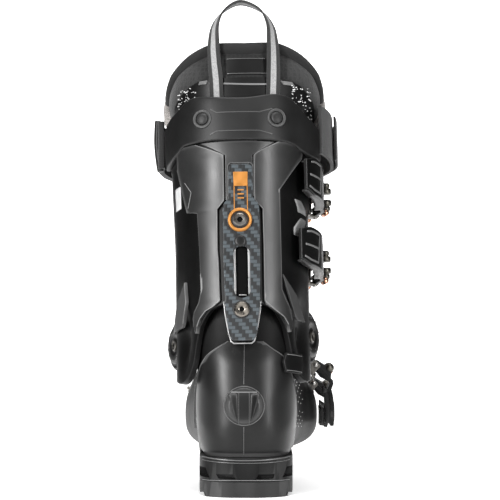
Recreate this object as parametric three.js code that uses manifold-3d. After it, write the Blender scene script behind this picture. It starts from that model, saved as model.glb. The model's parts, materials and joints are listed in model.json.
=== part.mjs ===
// Alpine ski boot for the right foot, with four buckles, a power strap and a flex spine.
// Millimetres. +Z is up, +Y points to the toe and +X to the outer side of the foot.
// The origin is the centre of the heel plate's rest face, on the ground.
import * as THREE from "three";
import { mergeVertices } from "three/addons/utils/BufferGeometryUtils.js";
import Module from "manifold-3d";

const wasm = await Module();
wasm.setup();

// ---------------------------------------------------------------- driving dimensions
const GAP = 0.3; // air left between pieces that touch
const SOLE_LENGTH = 306;
const SOLE_WIDTH = 69;
const HEEL_BACK = -38; // rear end of the sole
const TOE_TIP = HEEL_BACK + SOLE_LENGTH;
const PLATE_TOP = 11.7; // thickness of the bolt-on sole plates
const TOE_LUG_TOP = 19;
const HEEL_LUG_TOP = 30;
const HEEL_PLATE_FRONT = 38;
const TOE_PLATE_BACK = 150;
const SHELL_WALL = 5;
const CUFF_WALL = 5;
const LINER_WALL = 7;
const ANKLE = { y: 42, z: 111 }; // the cuff's pivot axis, along X
const LEAN = THREE.MathUtils.degToRad(12); // forward lean of the cuff
const CUFF_SHIFT = -2.3; // the leg's line lies to the inner side of the heel's
const CANT = THREE.MathUtils.degToRad(1); // and leans a little further that way
const CUFF_BACK = -72; // in the cuff's own frame, from the pivot axis
const CUFF_FRONT = 57;
const FLAP_STEP = 3; // each front flap of the cuff moves in or out by this to overlap
const STRAP = { low: 144.5, high: 184, thick: 2.6 };

// Buckles: the lever turns on pins of radius pin, rise above the skin; the bail turns on a
// barrel in the lever's fork, back behind the hinge and a little under it, so that it locks.
const LEVER = { half: 15, thick: 3.2, height: 9.5, fork: 16, pin: 2, rise: 9 };
const BAIL = { back: 10, drop: 0.8, barrel: 3.6, trunnion: 1.6, rod: 1.9, wire: 1.5, half: 10.5,
  barHeight: 3.9 };
// Angles round the leg or the foot, in degrees; bar is where the wire hooks on the ladder.
const CUFF_BUCKLES = [
  { name: "cuff_upper", height: 123 },
  { name: "cuff_lower", height: 67 },
].map((plan) => ({ ...plan, lift: 0.7, hinge: 112, leverEnd: 52, reach: 16, bar: 206, pitch: 7.4,
  wire: [[140, 7.5], [160, 6], [190, 5]] }));
const FOOT_BUCKLES = [
  { name: "instep", section: 5.4, hinge: 128, lift: 4.5 },
  { name: "toe", section: 3.4, hinge: 124, lift: 4 },
].map((plan) => ({ ...plan, leverEnd: 84, reach: 14, bar: 219, pitch: 8.2,
  wire: [[150, 6.5], [172, 6.5], [198, 6.5]] }));

// ---------------------------------------------------------------- materials
const material = (color, roughness, metalness = 0) =>
  new THREE.MeshStandardMaterial({ color, roughness, metalness });
const finish = {
  shell: material(0x1b1b1c, 0.42),
  cuff: material(0x222224, 0.45),
  rubber: material(0x2b2b2c, 0.7),
  carbon: material(0x33383c, 0.35),
  orange: material(0xd9822b, 0.4),
  copper: material(0xb87a55, 0.3, 0.9),
  steel: material(0x8f8d86, 0.35, 1),
  lever: material(0x101012, 0.4),
  fabric: material(0x1a1a1b, 0.9),
  webbing: material(0x7c7c7c, 0.85),
};

// ---------------------------------------------------------------- small tools
const vec = (x, y, z) => new THREE.Vector3(x, y, z);
const rad = THREE.MathUtils.degToRad;
const clamp01 = (t) => Math.min(1, Math.max(0, t));
const smoothStep = (t) => clamp01(t) ** 2 * (3 - 2 * clamp01(t));
// A sine or cosine raised to 2/n, with its sign: the coordinates of a superellipse.
const squared = (wave, n) => Math.sign(wave) * Math.abs(wave) ** (2 / n);

// A smooth curve through [x, y] points that never overshoots between them.
function through(points, x) {
  const last = points.length - 1;
  if (x <= points[0][0]) return points[0][1];
  if (x >= points[last][0]) return points[last][1];
  const i = points.findIndex((p) => p[0] > x) - 1;
  const slope = (k) => (points[k + 1][1] - points[k][1]) / (points[k + 1][0] - points[k][0]);
  const tangent = (k) => {
    if (k === 0) return slope(0);
    if (k === last) return slope(last - 1);
    const [a, b] = [slope(k - 1), slope(k)];
    return a * b <= 0 ? 0 : (2 * a * b) / (a + b);
  };
  const width = points[i + 1][0] - points[i][0];
  const t = (x - points[i][0]) / width;
  return (
    (2 * t ** 3 - 3 * t ** 2 + 1) * points[i][1] +
    (t ** 3 - 2 * t ** 2 + t) * width * tangent(i) +
    (3 * t ** 2 - 2 * t ** 3) * points[i + 1][1] +
    (t ** 3 - t ** 2) * width * tangent(i + 1)
  );
}

// A closed solid from shared points and triangles, turned to face outwards.
function solidFrom(points, triangles) {
  const positions = new Float32Array(points.flatMap((p) => [p.x, p.y, p.z]));
  let volume = 0;
  for (const [a, b, c] of triangles) {
    volume += points[a].dot(points[b].clone().cross(points[c]));
  }
  const faces = volume < 0 ? triangles.map(([a, b, c]) => [a, c, b]) : triangles;
  const triVerts = new Uint32Array(faces.flat());
  return new wasm.Manifold(new wasm.Mesh({ numProp: 3, vertProperties: positions, triVerts }));
}

// A three.js geometry as a solid.
function solidOf(geometry) {
  const bare = geometry.clone();
  bare.deleteAttribute("normal");
  bare.deleteAttribute("uv");
  const merged = mergeVertices(bare, 1e-3);
  const triVerts = new Uint32Array(merged.index.array);
  const vertProperties = merged.attributes.position.array;
  return new wasm.Manifold(new wasm.Mesh({ numProp: 3, vertProperties, triVerts }));
}

function geometryOf(solid) {
  const mesh = solid.getMesh();
  const positions = new Float32Array(mesh.numVert * 3);
  for (let i = 0; i < mesh.numVert; i++) {
    positions.set(mesh.vertProperties.subarray(i * mesh.numProp, i * mesh.numProp + 3), i * 3);
  }
  const geometry = new THREE.BufferGeometry();
  geometry.setAttribute("position", new THREE.BufferAttribute(positions, 3));
  geometry.setIndex(new THREE.BufferAttribute(mesh.triVerts, 1));
  geometry.computeVertexNormals();
  return geometry;
}

// Rings of equally many points joined into a closed body, with a fan at each end.
function loft(rings) {
  const count = rings[0].length;
  const points = rings.flat();
  const triangles = [];
  for (let r = 0; r + 1 < rings.length; r++) {
    for (let i = 0; i < count; i++) {
      const [a, b] = [r * count + i, r * count + ((i + 1) % count)];
      triangles.push([a, b, b + count], [a, b + count, a + count]);
    }
  }
  for (const [ring, flip] of [[0, true], [rings.length - 1, false]]) {
    const middle = points.push(rings[ring].reduce((sum, p) => sum.add(p), vec(0, 0, 0))
      .divideScalar(count)) - 1;
    for (let i = 0; i < count; i++) {
      const [a, b] = [ring * count + i, ring * count + ((i + 1) % count)];
      triangles.push(flip ? [b, a, middle] : [a, b, middle]);
    }
  }
  return solidFrom(points, triangles);
}

// A curved wall: place(u, v, side) is a point of its inner (side 0) or outer (side 1) face.
function wall(place, columns, rows) {
  const points = [];
  for (const side of [0, 1]) {
    for (let i = 0; i <= columns; i++) {
      for (let j = 0; j <= rows; j++) points.push(place(i / columns, j / rows, side));
    }
  }
  const at = (i, j, side) => (side * (columns + 1) + i) * (rows + 1) + j;
  const triangles = [];
  const quad = (a, b, c, d) => triangles.push([a, b, c], [a, c, d]);
  for (let i = 0; i < columns; i++) {
    for (let j = 0; j < rows; j++) {
      quad(at(i, j, 1), at(i + 1, j, 1), at(i + 1, j + 1, 1), at(i, j + 1, 1));
      quad(at(i, j, 0), at(i, j + 1, 0), at(i + 1, j + 1, 0), at(i + 1, j, 0));
    }
    quad(at(i, 0, 0), at(i + 1, 0, 0), at(i + 1, 0, 1), at(i, 0, 1));
    quad(at(i, rows, 0), at(i, rows, 1), at(i + 1, rows, 1), at(i + 1, rows, 0));
  }
  for (let j = 0; j < rows; j++) {
    quad(at(0, j, 0), at(0, j, 1), at(0, j + 1, 1), at(0, j + 1, 0));
    quad(at(columns, j, 0), at(columns, j + 1, 0), at(columns, j + 1, 1), at(columns, j, 1));
  }
  return solidFrom(points, triangles);
}

function box(x0, x1, y0, y1, z0, z1) {
  const geometry = new THREE.BoxGeometry(x1 - x0, y1 - y0, z1 - z0);
  return solidOf(geometry.translate((x0 + x1) / 2, (y0 + y1) / 2, (z0 + z1) / 2));
}

// A cylinder from point a to point b.
function rod(a, b, radius, sides = 16) {
  const geometry = new THREE.CylinderGeometry(radius, radius, a.distanceTo(b), sides);
  const turn = new THREE.Quaternion().setFromUnitVectors(
    vec(0, 1, 0), b.clone().sub(a).normalize());
  geometry.applyQuaternion(turn);
  const middle = a.clone().add(b).divideScalar(2);
  return solidOf(geometry.translate(middle.x, middle.y, middle.z));
}

// A flat outline of [x, y] points, extruded from z0 to z1.
function prism(outline, z0, z1) {
  const shape = new THREE.Shape(outline.map(([x, y]) => new THREE.Vector2(x, y)));
  const options = { depth: z1 - z0, bevelEnabled: false };
  return solidOf(new THREE.ExtrudeGeometry(shape, options).translate(0, 0, z0));
}

// A flat path of [x, y] points given a thickness, as an outline for prism().
function thickPath(path, thickness) {
  const side = (sign) => path.map(([x, y], i) => {
    const [x0, y0] = path[Math.max(0, i - 1)];
    const [x1, y1] = path[Math.min(path.length - 1, i + 1)];
    const length = Math.hypot(x1 - x0, y1 - y0);
    const shift = (sign * thickness) / 2 / length;
    return [x + (y1 - y0) * shift, y - (x1 - x0) * shift];
  });
  return [...side(1), ...side(-1).reverse()];
}

function part(name, solid, look, parent) {
  const mesh = new THREE.Mesh(geometryOf(solid), look);
  mesh.name = name;
  parent.add(mesh);
  return mesh;
}

const boot = new THREE.Group();

// ---------------------------------------------------------------- the foot's form
// Sections from the toe to the ankle. Each lies in the plane through its top point (on the
// instep line) and its foot point (on the sole and heel line), and is as wide as the shell
// to the inner and the outer side. They fan round the instep, as the foot does.
const FOOT = [
  [256, 48, 256, 27, 15, 16],
  [252, 58, 253, 20, 31, 32],
  [242, 66, 244, 17.5, 41, 43],
  [222, 74, 223, 17.5, 48, 52],
  [195, 82, 195, 17.5, 52, 59],
  [165, 92, 165, 17.5, 52, 60],
  [138, 106, 131, 17.5, 48, 52],
  [121, 120, 95, 17.5, 43, 44],
  [109, 132, 55, 17.5, 39, 39],
  [101, 141, 15, 17.5, 37, 37.5],
  [96, 146, -22, 22, 37, 37.5],
  [93, 148, -33, 45, 37, 37.5],
  [91, 149, -33, 72, 38, 38],
  [89, 150, -29, 98, 41, 39.5],
  [87, 151, -20, 121, 44.5, 40.5],
  [85, 152, -11, 150, 44, 40],
  [84, 172, -8, 170, 43.5, 39.5],
  [84, 190, -5, 190, 43, 39],
];
const RIM = 15; // the section at the shell's rim
const WIDEST = 0.6; // share of a section, from the top, where it is widest
const AROUND = 24; // corners round each section

function footSection(s) {
  return FOOT[0].map((_, column) => through(FOOT.map((row, i) => [i, row[column]]), s));
}

// Point of the foot's form on section s, at an angle from the outer side up to the instep,
// moved in by inset.
function footPoint(s, angle, inset) {
  const [topY, topZ, footY, footZ, inner, outer] = footSection(s);
  const axis = vec(0, topY - footY, topZ - footZ);
  const length = axis.length();
  axis.normalize();
  const [across, along] = [Math.cos(angle), Math.sin(angle)];
  const roundness = along > 0 ? 2.3 : through([[9, 3.2], [13, 2.5]], s);
  const reach = (along > 0 ? WIDEST * length : (1 - WIDEST) * length) - inset;
  const x = ((across < 0 ? inner : outer) - inset) * squared(across, roundness);
  const middle = vec(0, topY, topZ).addScaledVector(axis, -WIDEST * length);
  return middle.addScaledVector(axis, reach * squared(along, roundness)).setX(x);
}

// A solid of the form between two sections, shrunk by inset; its stations are whole numbers,
// so forms of different insets lie evenly inside each other.
function footForm(inset, from, to, around) {
  const stations = [from];
  for (let k = Math.floor(from) + 1; k < to; k++) stations.push(k);
  stations.push(to);
  const angles = Array.from({ length: around }, (_, i) => (2 * Math.PI * i) / around);
  return loft(stations.map((k) => angles.map((angle) => footPoint(k, angle, inset))));
}

// ---------------------------------------------------------------- sole and lower shell
// Half-width of the sole's outline at y: round at both ends, waisted under the arch.
function soleHalf(y, inset = 0) {
  const half = through([[40, SOLE_WIDTH / 2], [95, 30], [165, SOLE_WIDTH / 2]], y);
  const heel = clamp01((HEEL_BACK + 30 - y) / (30 - inset));
  const toe = clamp01((y - (TOE_TIP - 62)) / (62 - inset));
  return (half - inset) * (1 - heel ** 2.6) ** (1 / 2.6) * (1 - toe ** 2.3) ** (1 / 2.3);
}

function soleOutline(from, to, inset = 0) {
  const low = Math.max(from, HEEL_BACK + inset);
  const high = Math.min(to, TOE_TIP - inset);
  const steps = 14;
  // The points crowd towards the ends, where the outline turns fastest.
  const ys = Array.from({ length: steps + 1 }, (_, i) =>
    low + (high - low) * (1 - Math.cos((Math.PI * i) / steps)) / 2);
  const right = ys.map((y) => [Math.max(soleHalf(y, inset), 4), y]);
  return [...right, ...right.map(([x, y]) => [-x, y]).reverse()];
}

function solePlate(name, from, to, screwPlaces) {
  let plate = prism(soleOutline(from, to), 0, PLATE_TOP);
  for (let y = from + 12; y < to - 8; y += 14) {
    if (Math.abs(y) < 8) continue; // the middle of the heel stays whole
    for (const side of [-1, 1]) {
      plate = plate.subtract(box(side * 24 - 14, side * 24 + 14, y - 1.5, y + 1.5, -1, 2.5));
    }
  }
  for (const [x, y] of screwPlaces) {
    plate = plate.subtract(rod(vec(x, y, -1), vec(x, y, 5), 4.5, 10));
    plate = plate.subtract(rod(vec(x, y, 4), vec(x, y, PLATE_TOP + 1), 2.5, 8));
  }
  part(name, plate, finish.rubber, boot);
}

const HEEL_SCREWS = [[-18, -19], [18, -19], [-18, 23], [18, 23]];
const TOE_SCREWS = [[-18, 169], [18, 169], [-15, 225], [15, 225]];
const SCREW_TOP = 18; // how far up the sole screws bite into the shell

function soleScrews(prefix, places) {
  places.forEach(([x, y], i) => {
    const head = rod(vec(x, y, 2), vec(x, y, 4.6), 4, 10);
    const shank = rod(vec(x, y, 4.5), vec(x, y, SCREW_TOP), 2, 8);
    const socket = rod(vec(x, y, 1), vec(x, y, 3.6), 1.8, 6);
    part(`${prefix}_${i + 1}`, head.add(shank).subtract(socket), finish.steel, boot);
  });
}

const BADGE = { x: -1, z: 70, radius: 14.5, depth: 2.6 };
const badgeDrill = (radius) =>
  rod(vec(BADGE.x, HEEL_BACK - 10, BADGE.z), vec(BADGE.x, HEEL_BACK + 30, BADGE.z), radius, 24);
const PIVOT_BOLT = 5; // radius of the ankle pivot's shank
const SLOT_HALF = 5; // half-width of the shell's slot for the spine's lower bolt

function lowerShell() {
  let shell = footForm(0, 0, RIM, AROUND);
  shell = shell.add(prism(soleOutline(HEEL_BACK, 62), 12, HEEL_LUG_TOP));
  shell = shell.add(prism(soleOutline(40, 175, 2), 12, 24));
  shell = shell.add(prism(soleOutline(150, TOE_TIP), 12, TOE_LUG_TOP));
  for (const plan of FOOT_BUCKLES) {
    const { site, surface } = footSite(plan);
    const pad = (from, to, half) => prism(thickPath(
      arc(surface, from, to, -2.5, 6), 5), -half, half).transform(site.matrix.elements);
    shell = shell.add(pad(plan.hinge - 11, plan.hinge + 11, 16.5));
    shell = shell.add(pad(plan.bar - 17, plan.bar + 24, 9));
  }
  shell = shell.subtract(footForm(SHELL_WALL, 1, RIM + 1.5, AROUND));
  // The slit between the two instep flaps, inside the overlap.
  shell = shell.subtract(box(-17, -14.5, 70, 188, 70, 200));
  // Slot behind the spine, open at the rim, where the lower bolt slides.
  shell = shell.subtract(box(CUFF_SHIFT - SLOT_HALF, CUFF_SHIFT + SLOT_HALF, -60, 0, 126, 200));
  for (const side of [-1, 1]) {
    const pivot = [vec(side * 20, ANKLE.y, ANKLE.z), vec(side * 80, ANKLE.y, ANKLE.z)];
    shell = shell.subtract(rod(...pivot, PIVOT_BOLT + 1.2, 16));
    // Two scooped notches in the heel lug, as pry slots.
    shell = shell.subtract(box(side * 14.5 - 7, side * 14.5 + 7, HEEL_BACK - 5, HEEL_BACK + 4, 14, 18));
  }
  for (const [x, y] of [...HEEL_SCREWS, ...TOE_SCREWS]) {
    shell = shell.subtract(rod(vec(x, y, 8), vec(x, y, SCREW_TOP + GAP), 2.5, 8));
  }
  const pocket = badgeDrill(BADGE.radius + GAP).subtract(
    footForm(BADGE.depth + GAP, 8, RIM, AROUND));
  part("lower_shell", shell.subtract(pocket), finish.shell, boot);

  const proud = footForm(-0.8, 8, RIM, AROUND);
  const badge = badgeDrill(BADGE.radius).intersect(proud).subtract(
    footForm(BADGE.depth, 8, RIM, AROUND)).intersect(box(-40, 40, -60, 0, 0, 140));
  part("heel_badge", badge, finish.rubber, boot);
}

// ---------------------------------------------------------------- boot board and liner foot
const BOARD_TOP = 31;
const LINER_TIP = 250; // front of the liner's toe box
const CUFF_SPLIT = 66; // the liner is parted on this radius round the ankle axis

function linerFoot() {
  const under = box(-90, 90, -80, 300, 0, BOARD_TOP);
  const room = footForm(SHELL_WALL + 0.5, 1, RIM, AROUND)
    .subtract(box(-90, 90, LINER_TIP, 300, 0, 300));
  part("boot_board", room.intersect(under), finish.rubber, boot);

  const outer = footForm(SHELL_WALL + 0.5, 1, 17, AROUND)
    .subtract(box(-90, 90, LINER_TIP, 300, 0, 300));
  const hollow = footForm(SHELL_WALL + LINER_WALL, 1.6, 17, AROUND);
  const inside = hollow.intersect(box(-90, 90, -80, 300, BOARD_TOP + 6, 300));
  const below = box(-90, 90, -80, 300, BOARD_TOP + 0.4, 140);
  const reach = rod(vec(-90, ANKLE.y, ANKLE.z), vec(90, ANKLE.y, ANKLE.z), CUFF_SPLIT, 48);
  const above = outer.subtract(inside).subtract(box(-90, 90, -80, 300, -50, BOARD_TOP + 0.4));
  part("liner_foot", above.intersect(below.add(reach)), finish.fabric, boot);
}

// ---------------------------------------------------------------- the cuff's form
const cuffFrame = new THREE.Group();
cuffFrame.position.set(CUFF_SHIFT, ANKLE.y, ANKLE.z);
cuffFrame.rotation.set(-LEAN, -CANT, 0);
boot.add(cuffFrame);

const CUFF_HALF = [[-30, 52.5], [60, 52.5], [115, 54], [190, 57]]; // half-width by height

// A point on the cuff's outer form: angle in degrees from the back, positive to the outer
// side, at height q along the cuff, moved out by offset.
function cuffPoint(angle, q, offset) {
  const half = through(CUFF_HALF, q) + offset;
  const depth = (CUFF_FRONT - CUFF_BACK) / 2 + offset;
  const middle = (CUFF_FRONT + CUFF_BACK) / 2;
  return vec(half * squared(Math.sin(rad(angle)), 2.5),
    middle - depth * squared(Math.cos(rad(angle)), 2.5), q);
}

// The outer flap runs over the inner one in front.
const flapShift = (angle) =>
  Math.sign(angle) * FLAP_STEP * smoothStep((Math.abs(angle) - 120) / 55);

const CUFF_LOW = [[0, 22], [20, 17], [33, 0], [40, -26], [62, -34], [90, -30], [108, -24],
  [128, 4], [150, 38], [180, 50], [190, 50]];
const CUFF_HIGH = [[0, 176], [45, 172], [90, 160], [140, 151], [190, 149]];
const FLAP_END = 190; // each flap passes the middle of the shin by 10 degrees

function cuff() {
  let shell = wall((u, v, side) => {
    const angle = -FLAP_END + 2 * FLAP_END * u;
    const low = through(CUFF_LOW, Math.abs(angle));
    const high = through(CUFF_HIGH, Math.abs(angle));
    const offset = flapShift(angle) + (side - 1) * CUFF_WALL;
    return cuffPoint(angle, low + (high - low) * v, offset);
  }, 44, 6);
  for (const side of [-1, 1]) {
    const boss = rod(vec(side * 49, 0, 0), vec(side * 54.2, 0, 0), 25, 24);
    const hole = rod(vec(side * 30, 0, 0), vec(side * 80, 0, 0), PIVOT_BOLT + 1.2, 20);
    const seat = rod(vec(side * 52.6, 0, 0), vec(side * 80, 0, 0), 21 + GAP, 24);
    shell = shell.add(boss).subtract(hole).subtract(seat);
  }
  shell = shell.subtract(
    rod(vec(0, -90, SPINE.boltHigh), vec(0, -50, SPINE.boltHigh), SPINE.shank + GAP, 12));
  part("cuff", shell, finish.cuff, cuffFrame);
}

// ---------------------------------------------------------------- ankle pivots
function anklePivots() {
  for (const [name, side] of [["inner", -1], ["outer", 1]]) {
    const shank = rod(vec(side * 38, 0, 0), vec(side * 50.4, 0, 0), PIVOT_BOLT, 16);
    part(`pivot_bolt_${name}`, shank, finish.steel, cuffFrame);
    const face = rod(vec(side * 52.9, 0, 0), vec(side * 58.4, 0, 0), 21, 24);
    const socket = rod(vec(side * 56.5, 0, 0), vec(side * 60, 0, 0), 3, 6);
    part(`cant_disc_${name}`, face.subtract(socket), finish.lever, cuffFrame);
  }
}

// ---------------------------------------------------------------- flex spine on the back
const SPINE = {
  low: -9,
  high: 128,
  back: CUFF_BACK - 1.2, // inner face of the plate
  thick: 3,
  boltHigh: 84,
  boltLow: 17,
  shank: 3,
};

// Half-width of the spine plate by height: narrow tail, broad body, narrow tongue on top.
const SPINE_HALF = [[-9, 8.5], [-5, 10.5], [20, 13.2], [50, 14], [96, 14], [103, 9.5],
  [124, 9.2], [128, 7.5]];

function spine() {
  const right = SPINE_HALF.map(([q, half]) => [half, q]);
  const outline = [...right, ...right.map(([x, q]) => [-x, q]).reverse()];
  const upright = (solid) => solid.rotate([90, 0, 0]);
  const outer = SPINE.back - SPINE.thick;
  // Upright, the prism's depth runs along -Y.
  let plate = upright(prism(outline, -SPINE.back, -outer));
  const slot = box(-6.2, 6.2, -100, -60, 24, 65);
  plate = plate.subtract(slot);
  for (const q of [SPINE.boltHigh, SPINE.boltLow]) {
    plate = plate.subtract(rod(vec(0, -90, q), vec(0, -60, q), SPINE.shank + GAP, 12));
  }
  part("spine_plate", plate, finish.carbon, cuffFrame);

  const frame = box(-5.9, 5.9, outer - 0.4, SPINE.back, 24.3, 64.7)
    .subtract(box(-4.4, 4.4, -100, -60, 26, 63));
  part("spine_slot_frame", frame, finish.steel, cuffFrame);

  const ring = rod(vec(0, outer - 2.2, SPINE.boltHigh), vec(0, outer - GAP, SPINE.boltHigh), 9, 20)
    .subtract(rod(vec(0, -100, SPINE.boltHigh), vec(0, -60, SPINE.boltHigh), 6.8, 20));
  part("spine_ring", ring, finish.orange, cuffFrame);

  const marker = box(-5, 5, outer - 0.9, outer - GAP, 102, 122);
  part("spine_marker", marker, finish.orange, cuffFrame);

  for (const [name, q, head, inner] of [
    ["upper", SPINE.boltHigh, 6.4, -68], ["lower", SPINE.boltLow, 6, -64]]) {
    const cap = rod(vec(0, outer - 3, q), vec(0, outer - GAP, q), head, 16);
    const shank = rod(vec(0, outer - 1, q), vec(0, inner, q), SPINE.shank, 12);
    const socket = rod(vec(0, outer - 5, q), vec(0, outer - 1, q), 2.2, 6);
    part(`spine_bolt_${name}`, cap.add(shank).subtract(socket), finish.steel, cuffFrame);
  }
}

// ---------------------------------------------------------------- power strap and its yoke
const YOKE = { from: -84, to: 76, thick: 3.6, bolts: 25, boltHeight: 165 };
const YOKE_LOW = [[-84, 147], [-45, 146], [0, 148], [30, 147], [50, 144], [76, 141]];
const YOKE_HIGH = [[-84, 183], [-35, 184], [0, 181.5], [30, 186], [50, 184], [76, 180]];

function yoke() {
  let body = wall((u, v, side) => {
    const angle = YOKE.from + (YOKE.to - YOKE.from) * u;
    const [bottom, top] = [through(YOKE_LOW, angle), through(YOKE_HIGH, angle)];
    const lifted = 6 * smoothStep((angle - 40) / 36); // the outer end stands off the cuff
    return cuffPoint(angle, bottom + (top - bottom) * v, GAP + lifted + side * YOKE.thick);
  }, 20, 2);
  for (const [name, side] of [["inner", -1], ["outer", 1]]) {
    const seat = cuffPoint(side * YOKE.bolts, YOKE.boltHeight, 0);
    const turn = rad(side * YOKE.bolts * 0.6); // the form's back is flatter than a circle
    const out = vec(Math.sin(turn), -Math.cos(turn), 0);
    const at = (d) => seat.clone().addScaledVector(out, d);
    body = body.subtract(rod(at(-8), at(12), 4.7, 16));
    part(`yoke_bolt_${name}`, rod(at(1), at(6.4), 4.4, 16), finish.steel, cuffFrame);
    const collar = rod(at(4.9), at(6.2), 7.6, 16).subtract(rod(at(0), at(12), 4.7, 16));
    part(`yoke_collar_${name}`, collar, finish.rubber, cuffFrame);
  }
  part("strap_yoke", body, finish.rubber, cuffFrame);
}

function powerStrap() {
  // The strap leaves the yoke's outer end, stands off the outer side a little, goes round the
  // shin and is folded back on itself at the inner side.
  const reach = (from, to, offset, steps) => Array.from({ length: steps + 1 }, (_, i) => {
    const angle = from + ((to - from) * i) / steps;
    const bulge = 11 * Math.exp(-(((angle - 103) / 27) ** 2));
    const point = cuffPoint(angle, STRAP.low, offset + bulge);
    return [point.x, point.y];
  });
  const edge = cuffPoint(264, STRAP.low, 0);
  const fold = [[-3, -4], [-7, -5], [-9.5, -1.5], [-10, 5]].map(([x, y]) => [edge.x + x, edge.y + y]);
  const path = [...reach(79, 258, 5.6, 24), ...fold, ...reach(246, 205, 10.5, 6)];
  part("power_strap", prism(thickPath(path, STRAP.thick), STRAP.low, STRAP.high),
    finish.webbing, cuffFrame);
}

// ---------------------------------------------------------------- liner shaft and tongue
const SHAFT_HALF = [[0, 44], [150, 44.5], [178, 47], [194, 49.5], [206, 57], [216, 61], [232, 58]];
const SHAFT_BACK = [[0, -63.5], [176, -63.5], [232, -69]];
const SHAFT_FRONT = [[0, 45], [140, 45], [160, 49], [232, 51]];
const SHAFT_HIGH = [[0, 229], [28, 229], [60, 222], [85, 208], [115, 197], [142, 192]];
const SHAFT_END = 142;
const SHAFT_LOW = CUFF_SPLIT + 1;

// A point of the shaft's outer face, moved in by inset; the collar stands upright, so it is
// shifted back to the outer side as it rises.
function shaftPoint(angle, q, inset) {
  const half = through(SHAFT_HALF, q) - inset;
  const [back, front] = [through(SHAFT_BACK, q) + inset, through(SHAFT_FRONT, q) - inset];
  return vec(0.022 * q + half * squared(Math.sin(rad(angle)), 2.4),
    (back + front) / 2 - ((front - back) / 2) * squared(Math.cos(rad(angle)), 2.4), q);
}

function linerShaft() {
  const shaft = wall((u, v, side) => {
    const angle = -SHAFT_END + 2 * SHAFT_END * u;
    const reach = Math.min(60, Math.abs(shaftPoint(angle, 60, LINER_WALL).y));
    const low = Math.sqrt(SHAFT_LOW ** 2 - reach ** 2);
    const high = through(SHAFT_HIGH, Math.abs(angle));
    return shaftPoint(angle, low + (high - low) * v, (1 - side) * LINER_WALL);
  }, 28, 7);
  part("liner_shaft", shaft, finish.fabric, cuffFrame);

  const tongue = wall((u, v, side) => {
    const angle = 145.5 + 69 * u;
    const top = 226 - 14 * (2 * u - 1) ** 2;
    return shaftPoint(angle, SHAFT_LOW + (top - SHAFT_LOW) * v, (1 - side) * LINER_WALL);
  }, 10, 7);
  part("liner_tongue", tongue, finish.fabric, cuffFrame);
}

// ---------------------------------------------------------------- webbing pull loops
// A strip of webbing through stations of [point, direction of its width].
function webbing(name, stations, width, thickness, parent) {
  const curve = new THREE.CatmullRomCurve3(stations.map(([at]) => at));
  const turns = new THREE.CatmullRomCurve3(stations.map(([, across]) => across));
  const steps = 20;
  const rings = Array.from({ length: steps + 1 }, (_, i) => {
    const along = curve.getTangent(i / steps);
    const normal = along.clone().cross(turns.getPoint(i / steps)).normalize();
    const across = normal.clone().cross(along);
    return [[-1, -1], [1, -1], [1, 1], [-1, 1]].map(([a, b]) => curve.getPoint(i / steps)
      .addScaledVector(across, (a * width) / 2).addScaledVector(normal, (b * thickness) / 2));
  });
  part(name, loft(rings), finish.webbing, parent);
}

function pullLoops() {
  // Both legs run down between the liner's back and the cuff, and the top is turned edge-on.
  const leg = (side, x, q, out, turn) =>
    [vec(4 + side * x, shaftPoint(0, q, 0).y - out, q), vec(1, side * turn, 0)];
  const rise = (side) => [leg(side, 20.5, 184, 1.7, 0), leg(side, 21, 204, 2.2, 0),
    leg(side, 23, 222, 3, 0.5), leg(side, 22, 241, 3.5, 2.6)];
  webbing("rear_pull_loop", [...rise(-1), [vec(4, -73, 258), vec(0, -1, 0)],
    ...rise(1).reverse().map(([at, across]) => [at, across.negate()])], 12.5, 1.6, cuffFrame);

  const front = shaftPoint(180, 205, 0).y;
  const strand = (x, y, q) => [vec(4 + x, front + y, q), vec(1, 0, 0)];
  webbing("tongue_pull_loop", [strand(0, 1.5, 196), strand(0, 2, 208), strand(0, 8, 228),
    strand(0, 12, 243), strand(0, 21, 243), strand(0, 17, 224), strand(0, 5, 204)],
  18, 1.6, cuffFrame);
}

// ---------------------------------------------------------------- buckles
// Every buckle is drawn flat, in a plane across the leg or the foot: u runs to the outer side,
// v to the shin or the instep, and w is the hinge axis. surface(a, offset) is a point of the
// skin; a is 90 on the outer side, 180 in the middle of the front and beyond it to the inside.

// Points along the skin between two angles.
function arc(surface, from, to, offset, steps) {
  return Array.from({ length: steps + 1 }, (_, i) =>
    surface(from + ((to - from) * i) / steps, offset));
}

// The skin's own frame at angle a: along it by t and out of it by n.
function frameOn(surface, a, offset) {
  const [[u0, v0], [u1, v1], [u, v]] = [surface(a - 2, 0), surface(a + 2, 0), surface(a, offset)];
  const length = Math.hypot(u1 - u0, v1 - v0);
  const [tu, tv] = [(u1 - u0) / length, (v1 - v0) / length];
  return (t, n) => [u + tu * t + tv * n, v + tv * t - tu * n];
}

function cuffSite(plan) {
  const site = new THREE.Group();
  site.position.set(0, 0, plan.height);
  cuffFrame.add(site);
  const surface = (a, offset) => {
    const flap = flapShift(a > FLAP_END ? a - 360 : a);
    const point = cuffPoint(a, plan.height, flap + plan.lift + offset);
    return [point.x, point.y];
  };
  return { site, surface };
}

// On the foot the buckles stand on pads that rise out of the shell by the plan's lift.
function footSite(plan) {
  const [topY, topZ, footY, footZ] = footSection(plan.section);
  const site = new THREE.Group();
  site.rotation.x = Math.PI / 2 - Math.atan2(topY - footY, topZ - footZ);
  site.position.copy(footPoint(plan.section, 0, 0).setX(0));
  site.updateMatrix();
  const back = site.matrix.clone().invert();
  const surface = (a, offset) => {
    const point = footPoint(plan.section, rad(a - 90), -offset - plan.lift).applyMatrix4(back);
    return [point.x, point.y];
  };
  return { site, surface };
}

// A round pin along w, at (t, n) in the hinge's frame.
const hingeLine = (place, t, n, from, to, radius, sides) => {
  const [u, v] = place(t, n);
  return rod(vec(u, v, from), vec(u, v, to), radius, sides);
};

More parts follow.
